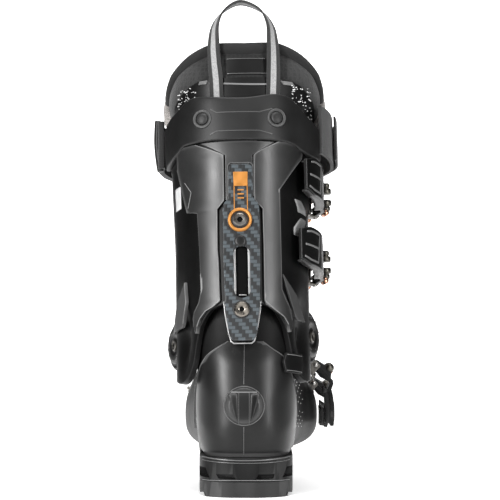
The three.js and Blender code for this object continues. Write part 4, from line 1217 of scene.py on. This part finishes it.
shaft_panel("liner_panel", [(162, -50, 58), (184, -49, 57), (190, -44, 52), (196, -36, 45),
                            (199, -27, 35)], 2.3, CUFF_BLACK, wall=2.5, bevel=0.7)
shaft_panel("liner_bar_left", [(195.2, -30, -24), (198.0, -29, -23)], 3.0, EDGE_GREY, columns=6,
            wall=1, bevel=0.2)
shaft_panel("liner_bar_right", [(193.8, 33, 42), (196.6, 31, 40)], 3.0, EDGE_GREY, columns=6,
            wall=1, bevel=0.2)
shaft_panel("liner_label", [(201.5, -9, 22), (215, -9.5, 21)], 1.9, CUFF_BLACK, columns=12, wall=1,
            bevel=0.2)
for name, (x0, h0), (x1, h1), sag, proud, width, finish in (
        ("piping", (-22, 195.6), (30, 193.8), 1.2, 2.6, 1.3, EDGE_GREY),
        ("label_low", (-8.4, 202.3), (21.2, 202.3), 0, 1.9, 0.4, PANEL_GREY_AND_SHEEN),
        ("label_high", (-8.8, 214.2), (20.2, 214.2), 0, 1.9, 0.4, PANEL_GREY_AND_SHEEN)):
    points = [on_shaft(shaft_angle(x0 + (x1 - x0) * k / 14, h0),
                       h0 + (h1 - h0) * k / 14 - sag * math.sin(math.pi * k / 14), proud)
              for k in range(15)]
    line_on(f"liner_{name}", points, width, 0.4, finish, "cuff_body", BEHIND)

chance = random.Random(7)
bm = bmesh.new()
for middle, spread, count in (((-39, 184), (7, 10), 64), ((47, 182), (7.5, 12), 70)):
    for _ in range(count):
        x, h = (m + s * chance.uniform(-1, 1) for m, s in zip(middle, spread))
        centre, outer = (on_shaft(shaft_angle(x, h), h, proud) for proud in (3.4, 12))
        add_dot(bm, centre, outer - centre, chance.choice((0.25, 0.3, 0.36, 0.5)))
dress(bm, "liner_dots", DOT_WHITE, "cuff_body", wall=0.8)

for side in (-1, 1):
    band = [on_shaft(side * angle, 165 + 2.6 * k, 2.2 - 0.03 * (k - 7) ** 2) for k, angle in
            enumerate([86, 86, 87, 87, 88, 88, 88, 88, 89, 90, 91, 92, 94, 96, 99])]
    tube_through(f"lining_edge_{side}", band, 3.2, LINER_LINING, "cuff_body", squash=1.6)

# %% [markdown]
# ## Pull loops and power strap
# These are woven strips. A strip is a grid along a smooth line, as wide as its webbing, turned
# to face along its own direction, and it carries a UV map for the weave. The rear loop twists
# until it is edge-on at its top.

# %% Webbing strips
def spline(points, t):
    """A smooth line through evenly spaced points; t runs from 0 to 1."""
    last = len(points) - 1
    i = min(last - 1, int(t * last))
    f = t * last - i
    p0, p1, p2, p3 = (points[min(last, max(0, i + k))] for k in (-1, 0, 1, 2))
    return 0.5 * (2 * p1 + (p2 - p0) * f + (2 * p0 - 5 * p1 + 4 * p2 - p3) * f * f
                  + (3 * p1 - p0 - 3 * p2 + p3) * f ** 3)


def strip_piece(name, stations, width, thick, finish, body, rows=90, sag=0.15):
    """A flat strap through (place, direction of its width) stations, with a UV map."""
    places = [p for p, _ in stations]
    turns = [a for _, a in stations]
    bm = bmesh.new()
    uv_layer = bm.loops.layers.uv.new("strip")
    made = bmesh.ops.create_grid(bm, x_segments=10, y_segments=rows, size=0.5)["verts"]
    flat = {v: (v.co.x + 0.5, v.co.y + 0.5) for v in made}
    length = sum((spline(places, (k + 1) / rows) - spline(places, k / rows)).length
                 for k in range(rows))
    for face in bm.faces:
        for loop in face.loops:
            u, v = flat[loop.vert]
            loop[uv_layer].uv = (u, v * length)
    for vert, (u, v) in flat.items():
        ahead = spline(places, min(1, v + 0.004)) - spline(places, max(0, v - 0.004))
        across = spline(turns, v)
        normal = ahead.cross(across).normalized()
        across = normal.cross(ahead).normalized()
        bow = sag * (1 - (2 * u - 1) ** 2)
        vert.co = spline(places, v) + (across * (u - 0.5) * width + normal * bow) * MM
    return dress(bm, name, finish, body, wall=thick, bevel=0.3, segments=2), length


LOOP_PATH = [(-17.3, 172, 1.6, 0), (-17.4, 184, 1.8, 0), (-17.8, 197, 2.6, 0.1),
             (-19, 211, 3.4, 0.35), (-19.6, 226, 3.8, 0.7), (-18.2, 241, 4, 1.6),
             (-11.5, 252.5, 4, 4), (2, 259.5, 4, 8)]
LOOP_RISE = [(26.3, 172, 1.6, 0), (26.4, 184, 1.8, 0), (27, 197, 2.6, 0.1),
             (27.4, 211, 3.4, 0.35), (27.3, 226, 3.8, 0.7), (25.6, 241, 4, 1.6), (18, 253, 4, 4)]


def loop_station(x, h, out, twist, side):
    back = through(SHAFT_BACK, min(h, 226)) - out - 0.9
    across = CUFF.to_3x3() @ Vector((1, side * twist, 0)).normalized()
    return leg(x, back, h), across if side < 0 else -across


stations = [loop_station(*row, -1) for row in LOOP_PATH]
stations[-1] = (stations[-1][0], CUFF.to_3x3() @ Vector((0, -1, 0)))
stations += [loop_station(*row, 1) for row in reversed(LOOP_RISE)]
rear_loop, loop_length = strip_piece("rear_loop", stations, 10.5, 1.5, LOOP_WEBBING, "cuff_body",
                                     rows=130)
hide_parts("rear_pull_loop")

front = CUFF.to_3x3() @ Vector((1, 0, 0))
TONGUE_LOOP = [(3, 192), (3.5, 208), (9, 228), (13.5, 245), (22, 244), (18, 224), (7, 202)]
front_y = through(SHAFT_FRONT, 205)
tongue_loop, tongue_length = strip_piece(
    "tongue_loop", [(leg(4, front_y + y, h), front) for y, h in TONGUE_LOOP], 18, 1.5, LOOP_WEBBING,
    "cuff_body", rows=80)
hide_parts("tongue_pull_loop")

up = CUFF.to_3x3() @ Vector((0, 0, 1))
strap_path = []
for k in range(31):
    angle = 70 + 188 * k / 30
    bulge = 11 * math.exp(-((angle - 103) / 27) ** 2)
    strap_path.append((on_cuff(angle, 164.2, 6.9 + bulge), up))
edge = cuff_flat(264, 164.2, 0)
strap_path += [(leg(edge.x + x, edge.y + y, 164.2), up) for x, y in
               ((-5, -3.5), (-9, -4.5), (-11, -1), (-11.3, 5))]
strap_path += [(on_cuff(angle, 164.2, 11.8), up) for angle in (246, 236, 226, 215, 205)]
strap, strap_length = strip_piece("strap", strap_path, 39, 2.6, STRAP_WEBBING, "cuff_body", rows=200)
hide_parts("power_strap")
strip_piece("strap_hook_end", [
    (on_cuff(angle, 164.2, 10 + 12 * math.exp(-((angle - 100) / 24) ** 2)), up)
    for angle in (88, 96, 104, 112, 122, 134, 146)], 36, 1.8, STRAP_WEBBING, "cuff_body", rows=50)
pull_ring = [on_cuff(-95, h, 9.5 + 1.5 * math.sin(math.pi * (h - 143) / 42))
             for h in range(143, 186, 2)]
tube_through("strap_loop_edge", pull_ring, 2.6, CAP_BLACK, "cuff_body")
for name, piece, size in (("rear_loop", rear_loop, (0.0105, loop_length)),
                          ("tongue_loop", tongue_loop, (0.018, tongue_length)),
                          ("strap", strap, (0.039, strap_length))):
    print(name, "is", [round(d * 1000) for d in size], "mm flat")

# %% [markdown]
# ## Buckles
# Each buckle is drawn in a flat plane across the leg or the foot, as the CAD does it: u runs
# to the outer side, v to the front, and w along the hinge. The lever, its barrel, the threaded
# rod, the wire and the ladder are placed by angles round the skin.

# %% Buckle sites
LEVER = {"half": 15, "thick": 3.2, "height": 9.5, "fork": 16, "rise": 9}
BAIL = {"back": 10, "drop": 0.8, "barrel": 3.6, "rod": 1.9, "wire": 1.5, "half": 13, "bar": 3.9}
CUFF_PLAN = {"lift": 0.7, "hinge": 112, "end": 47, "reach": 16, "bar": 206, "pitch": 7.4,
             "wire": [(136, 9.5), (160, 7), (190, 5)]}
FOOT_PLAN = {"end": 84, "reach": 14, "bar": 219, "pitch": 8.2,
             "wire": [(150, 9), (172, 7.5), (198, 6.5)]}


def cuff_site(height, plan):
    def skin(a, offset):
        flap = flap_shift(a if a <= 190 else a - 360)
        point = cuff_flat(a, height, flap + plan["lift"] + offset)
        return point.x, point.y

    return skin, lambda u, v, w: leg(u, v, height + w)


def foot_site(section, plan):
    top_y, top_z, foot_y, foot_z, *_ = foot_section(section)
    origin = on_foot(section, 0, 0) * 1000
    turn = math.pi / 2 - math.atan2(top_y - foot_y, top_z - foot_z)
    matrix = Matrix.Translation((0, origin.y, origin.z)) @ Matrix.Rotation(turn, 4, "X")
    back = matrix.inverted()

    def skin(a, offset):
        point = back @ (on_foot(section, a - 90, offset + plan["lift"]) * 1000)
        return point.x, point.y

    return skin, lambda u, v, w: (matrix @ Vector((u, v, w))) * MM


def hinge_frame(skin, a, offset):
    (u0, v0), (u1, v1), (u, v) = skin(a - 2, 0), skin(a + 2, 0), skin(a, offset)
    length = math.hypot(u1 - u0, v1 - v0)
    tu, tv = (u1 - u0) / length, (v1 - v0) / length
    return lambda t, n: (u + tu * t + tv * n, v + tv * t - tu * n)


def flat_prism(bm, outline, world, low, high):
    """A face on a few outline points in the site's plane, extruded along w."""
    face = bm.faces.new([bm.verts.new(world(u, v, low)) for u, v in outline])
    raise_faces(bm, [face], world(0, 0, high) - world(0, 0, low))


def turned(bm, a, b, profile):
    """A turned part from a to b; profile is (share along, radius in mm)."""
    old = set(bm.verts)
    spun(bm, [(r * MM, t * (b - a).length) for t, r in profile], 24)
    made = [v for v in bm.verts if v not in old]
    bmesh.ops.transform(bm, matrix=standing(a, b - a), verts=made)
    bmesh.ops.remove_doubles(bm, verts=made, dist=0.000004)


def rod_profile(radius, chamfer=0.5, threads=0, length=20.0):
    """The half section of a pin with chamfered ends, or of a threaded rod."""
    cut_at = min(0.4, chamfer / length)
    made = [(0, 0), (0, radius - chamfer * 0.6), (cut_at, radius)]
    for k in range(threads):
        t = cut_at + (1 - 2 * cut_at) * (k + 0.5) / threads
        made += [(t - 0.3 / threads, radius), (t, radius * 0.78), (t + 0.3 / threads, radius)]
    return made + [(1 - cut_at, radius), (1, radius - chamfer * 0.6), (1, 0)]


# %% Buckle parts
def make_buckle(name, plan, skin, world, host):
    place = hinge_frame(skin, plan["hinge"], LEVER["rise"])
    lever_body, bail_body = f"{name}_lever_body", f"{name}_bail_body"
    hu, hv = place(0, 0)
    start = plan["hinge"]
    while math.dist(skin(start, LEVER["height"]), (hu, hv)) < 21:
        start -= 1
    path = [place(-LEVER["fork"] * k / 4 - 4, 0) for k in range(5)]
    path += [skin(start + (plan["end"] - start) * k / 16, LEVER["height"]) for k in range(1, 17)]
    path = [Vector((u, v, 0)) for u, v in path]

    def handle(u, v, lift=0.0):
        at = spline(path, v)
        ahead = (spline(path, min(1, v + 0.02)) - spline(path, max(0, v - 0.02))).normalized()
        out = Vector((-ahead.y, ahead.x, 0)) if ahead.x * at.y - ahead.y * at.x > 0 else \
            Vector((ahead.y, -ahead.x, 0))
        if out.dot(at - Vector((0, skin(180, 0)[1] * 0.3, 0))) < 0:
            out = -out
        narrow = 1 - 0.2 * smooth_step((v - 0.8) / 0.2)
        at = at + out * (LEVER["thick"] / 2 + lift)
        return world(at.x, at.y, (2 * u - 1) * LEVER["half"] * narrow)

    sheet_piece(f"{name}_handle", handle, 14, 48, CAP_BLACK, lever_body, wall=LEVER["thick"], bevel=0.7,
                stands_for=(f"{name}_lever",))
    for n, (u0, v0, u1, v1) in enumerate(((0.12, 0.66, 0.88, 0.6), (0.12, 0.66, 0.12, 0.95),
                                          (0.5, 0.63, 0.5, 0.93), (0.88, 0.6, 0.88, 0.9))):
        points = [handle(u0 + (u1 - u0) * k / 10, v0 + (v1 - v0) * k / 10, 0.05) for k in range(11)]
        line_on(f"{name}_inlay_{n}", points, 1.5, 0.3, EDGE_GREY, lever_body, (1, -0.35, 0))

    bm = bmesh.new()
    fork_end = -LEVER["fork"] - 1.5
    cheek = [place(t, n) for t, n in ((3.4, -1.6), (1.6, 3.4), (-6, 5.6), (-14, 5.6), (fork_end, 1.6),
                                      (fork_end, -1.6), (-13, -3.4), (-8, -4.2), (0, -3.6))]
    for w in (-10.7, 8.1):
        flat_prism(bm, cheek, world, w, w + 2.6)
    dress(bm, f"{name}_cheeks", CAP_BLACK, lever_body, bevel=0.5)
    bm = bmesh.new()
    knob_u, knob_v = place(-10, 6.6)
    for s in (-1, 1):
        turned(bm, world(knob_u, knob_v, s * 2.7), world(knob_u, knob_v, s * 11.5),
               [(0, 0), (0, 3.8), (0.04, 4.1), (0.42, 4.1), (0.47, 3.7), (0.49, 2.4), (0.6, 2.4),
                (0.63, 3), (0.9, 3), (1, 2.3), (1, 0)])
    dress(bm, f"{name}_knob", DARK_STEEL, lever_body)
    for k, u in enumerate((0.04, 0.96)):
        sheet_piece(f"{name}_skirt_{k}", lambda a, b: handle(u, 0.25 + 0.7 * b, -1.4 - 5.8 * a), 2, 24,
                    CAP_BLACK, lever_body, wall=1.3)

    bm = bmesh.new()
    axis_u, axis_v = place(-BAIL["back"], -BAIL["drop"])
    turned(bm, world(axis_u, axis_v, -7.6), world(axis_u, axis_v, 7.6),
           rod_profile(BAIL["barrel"], 0.7, 0, 15.2))
    dress(bm, f"{name}_drum", GUNMETAL, bail_body, bevel=0.2, stands_for=(f"{name}_barrel",))
    bm = bmesh.new()
    turned(bm, world(axis_u, axis_v, -10.6), world(axis_u, axis_v, 10.6), rod_profile(1.6, 0.3, 0, 21))
    dress(bm, f"{name}_trunnions", STEEL, bail_body)

    def along(t, n=-BAIL["drop"], w=0.0):
        u, v = place(t, n)
        return world(u, v, w)

    bm = bmesh.new()
    turned(bm, along(-14), along(plan["reach"] + 2),
           rod_profile(BAIL["rod"], 0.3, 22, plan["reach"] + 16))
    dress(bm, f"{name}_thread", GUNMETAL, bail_body)
    bm = bmesh.new()
    block = [place(plan["reach"] + t, n - BAIL["drop"])
             for t, n in ((0, -2.8), (5, -2.8), (5, 2.8), (0, 2.8))]
    flat_prism(bm, block, world, -14.6, 14.6)
    dress(bm, f"{name}_block", COPPER, bail_body, bevel=0.9)
    bm = bmesh.new()
    turned(bm, along(-16, 4.8, -13.9), along(-6.6, 4.8, -13.9), rod_profile(2.2, 0.5, 0, 9.4))
    turned(bm, along(-11, 4.8, -14), along(-11, 4.8, -10.9), rod_profile(1.7, 0.2, 0, 3))
    dress(bm, f"{name}_tip", COPPER, lever_body)
    side = [Vector((*place(plan["reach"] + 2.5, -BAIL["drop"]), -BAIL["half"]))]
    side += [Vector((*skin(a, n), -BAIL["half"])) for a, n in plan["wire"]]
    side.append(Vector((*skin(plan["bar"], BAIL["bar"]), -BAIL["half"])))
    fine = [spline(side, k / 24) for k in range(25)]
    far = [Vector((p.x, p.y, -p.z)) for p in reversed(fine)]
    last = fine[-1]
    bend = [Vector((last.x, last.y, -BAIL["half"] * math.cos(math.pi * k / 12))) for k in range(1, 12)]
    wire = [world(p.x, p.y, p.z) for p in fine + bend + far]
    tube_through(f"{name}_wire", wire, BAIL["wire"], COPPER, bail_body, stands_for=(f"{name}_bail",))

    def along_skin(path, half):
        return lambda u, v: world(*spline(path, v).xy, (2 * u - 1) * half)

    base_path = [Vector((*skin(plan["hinge"] - 8 + 2 * k, 1.8), 0)) for k in range(9)]
    sheet_piece(f"{name}_plate", along_skin(base_path, 15.2), 4, 16, GUNMETAL, host, wall=1.8, offset=0,
                bevel=0.4, stands_for=(f"{name}_base",))
    bm = bmesh.new()
    low = 1.2 - LEVER["rise"]
    ear = [place(t, n) for t, n in ((-5, low), (5, low), (3.5, 2.5), (-3.5, 2.5))]
    for s in (-1, 1):
        flat_prism(bm, ear, world, *sorted((s * 12.6, s * 15.4)))
    dress(bm, f"{name}_ears", GUNMETAL, host, bevel=0.6)
    bm = bmesh.new()
    saddle = [place(t, n) for t, n in ((-8, low), (8, low), (6, -4.7), (-6, -4.7))]
    flat_prism(bm, saddle, world, -12.4, 12.4)
    dress(bm, f"{name}_saddle", CAP_BLACK, host, bevel=0.6)
    bm = bmesh.new()
    for s in (-1, 1):
        turned(bm, world(hu, hv, s * 7.8), world(hu, hv, s * 16), rod_profile(2, 0.3, 0, 8))
    dress(bm, f"{name}_pins", STEEL, host)

    first, final = plan["bar"] - 1.9 * plan["pitch"], plan["bar"] + 2.9 * plan["pitch"]
    ladder_path = [Vector((*skin(first + (final - first) * k / 12, 1.9), 0)) for k in range(13)]
    sheet_piece(f"{name}_rack", along_skin(ladder_path, 7.5), 4, 24, GUNMETAL, host, wall=1.5, offset=0,
                bevel=0.3, stands_for=(f"{name}_ladder",))
    bm = bmesh.new()
    for k in range(5):
        tooth = hinge_frame(skin, plan["bar"] + (k - 1.5) * plan["pitch"], 1)
        flat_prism(bm, [tooth(*p) for p in ((-1.2, 0), (1.2, 0), (0.9, 4), (-1.2, 4))], world, -7.5, 7.5)
    dress(bm, f"{name}_teeth", GUNMETAL, host, bevel=0.3)


for name, height, end in (("cuff_upper", 123, 47), ("cuff_lower", 67, 41)):
    plan = {**CUFF_PLAN, "end": end}
    make_buckle(name, plan, *cuff_site(height, plan), "cuff_body")
for name, section, hinge, lift in (("instep", 5.4, 128, 4.5), ("toe", 3.4, 124, 4)):
    plan = {**FOOT_PLAN, "hinge": hinge, "lift": lift}
    make_buckle(name, plan, *foot_site(section, plan), "shell")

# %% [markdown]
# ## Ankle pivots
# The cuff turns on a bolt at each ankle. Over the bolt lies a cant disc with a serrated edge, so
# that it can be set to an angle. The serrations are made by moving every other corner of a
# circle inwards before it is extruded.

# %% Pivots
def serrated(name, centre, out, radius, tall, teeth, depth):
    """A toothed disc: every other corner of its outline is moved in by depth."""
    bm = bmesh.new()
    made = bmesh.ops.create_circle(bm, cap_ends=True, segments=teeth * 2, radius=radius * MM)["verts"]
    for v in made[1::2]:
        v.co *= 1 - depth / radius
    raise_faces(bm, bm.faces[:], (0, 0, tall * MM))
    bmesh.ops.transform(bm, matrix=standing(centre, out), verts=bm.verts)
    piece = dress(bm, name, CAP_BLACK, "cuff_body")
    piece.data.set_sharp_from_angle(angle=math.radians(30))


def pivot_place(side, out=0.0, along=0.0, up=0.0):
    """A place on the pivot: out from its face, along it and up it, in mm."""
    face = Vector((side * 50.4, -9, 2.5 * side + 1.5))
    tilt = math.radians(23)
    normal = Vector((side * math.cos(tilt), -math.sin(tilt), 0))
    across = Vector((side * math.sin(tilt), math.cos(tilt), 0))
    place = CUFF @ ((face + normal * out + across * along + Vector((0, 0, up))) * MM)
    return place, CUFF.to_3x3() @ normal


for side, word, size in ((-1, "inner", 17), (1, "outer", 18.5)):
    centre, out = pivot_place(side)
    ring_at(f"pivot_boss_{word}", centre, out, size + 2.6,
            [(0.84, -2), (0.84, 1.0), (0.88, 1.6), (0.96, 1.3), (1.0, 0.4), (1.06, -7)], CUFF_BLACK)
    serrated(f"cant_teeth_{word}", pivot_place(side, -0.5)[0], out, size - 0.4, 2.9, 60, 0.7)
    ring_at(f"cant_face_{word}", pivot_place(side, 2.0)[0], out, size - 2,
            [(0, 2.2), (0.18, 2.3), (0.2, 1.7), (0.52, 1.8), (0.56, 2.5), (0.9, 2.3), (0.97, 1.7),
             (1.0, 0.8), (1.0, -0.6)], HEEL_BLACK, stands_for=(f"cant_disc_{word}",))
    bolt_head(f"cant_screw_{word}", pivot_place(side, 3.6)[0], out, 4.6, 1.5, GUNMETAL, socket=0.45)
    chance = random.Random(11 + side)
    bm = bmesh.new()
    for _ in range(22):
        turn, r = chance.uniform(0, 2 * math.pi), chance.uniform(0.6, 0.84) * size
        add_dot(bm, pivot_place(side, 4.6, r * math.cos(turn), r * math.sin(turn))[0], out, 0.45)
    dress(bm, f"cant_marks_{word}", EDGE_GREY, "cuff_body", wall=0.5)

# %% [markdown]
# ## Marks on the cuff and the shell
# The outer side of the cuff has two angular flashes and the inner side a small pale sticker.
# They are thin patches with no words on them. Where the shell widens in front of the heel it
# has a field of small raised dots on one side and slanting ribs on the other.

# %% Flashes, sticker and textures
for name, edges, proud, finish, wall in (
        ("flash_low", [(76, 40.5, 44), (82, 40.5, 48), (91, 46, 50.4)], 0.5, FLASH_GREY, 0.8),
        ("flash_high", [(95, 44, 50.4), (99, 43.5, 50.4), (104.5, 41.6, 46.4)], 0.5, FLASH_GREY, 0.8),
        ("sticker", [(100, -50.4, -46.2), (117.5, -50.9, -46.6)], 0.4, PAPER, 0.6)):
    back_panel(name, edges, proud, finish, columns=4, wall=wall)
bm = bmesh.new()
for i in range(8):
    for j in range(9):
        s, angle = 6.7 + 0.2 * i, -14 + 6 * j + 3 * (i % 2)
        centre = on_foot(s, angle, 0.35)
        add_dot(bm, centre, on_foot(s, angle, 9) - centre, 0.35 + 0.06 * i)
dress(bm, "shell_dots", DOT_WHITE, "shell", wall=0.5)
for k in range(5):
    points = [on_foot(7.0 + 0.28 * k + 0.5 * t / 6, 196 - 7 * t, 0.1) for t in range(7)]
    line_on(f"shell_rib_{k}", points, 0.7, 0.4, EDGE_DIM, "shell", (-1, -0.6, 0))

# %% [markdown]
# ## Small parts kept from the CAD
# The sole screws get turned heads with hexagon sockets, seen from below. The pivot bolts and
# the boot board lie inside, where nothing can be seen of them; they keep their CAD shape and get
# the metal and the rubber finish.

# %% Screws and hidden parts
for prefix, places in (("heel", [(-18, -19), (18, -19), (-18, 23), (18, 23)]),
                       ("toe", [(-18, 169), (18, 169), (-15, 225), (15, 225)])):
    for k, (x, y) in enumerate(places):
        bolt_head(f"{prefix}_bolt_{k + 1}", Vector((x, y, 4.4)) * MM, (0, 0, -1), 4, 2.2, STEEL,
                  "shell", socket=0.5, stands_for=(f"{prefix}_screw_{k + 1}",))
for node, finish in (("pivot_bolt_inner", STEEL), ("pivot_bolt_outer", STEEL),
                     ("boot_board", BOARD_RUBBER)):
    mesh = frame["nodes"][node].data
    mesh.materials.clear()
    mesh.materials.append(finish)
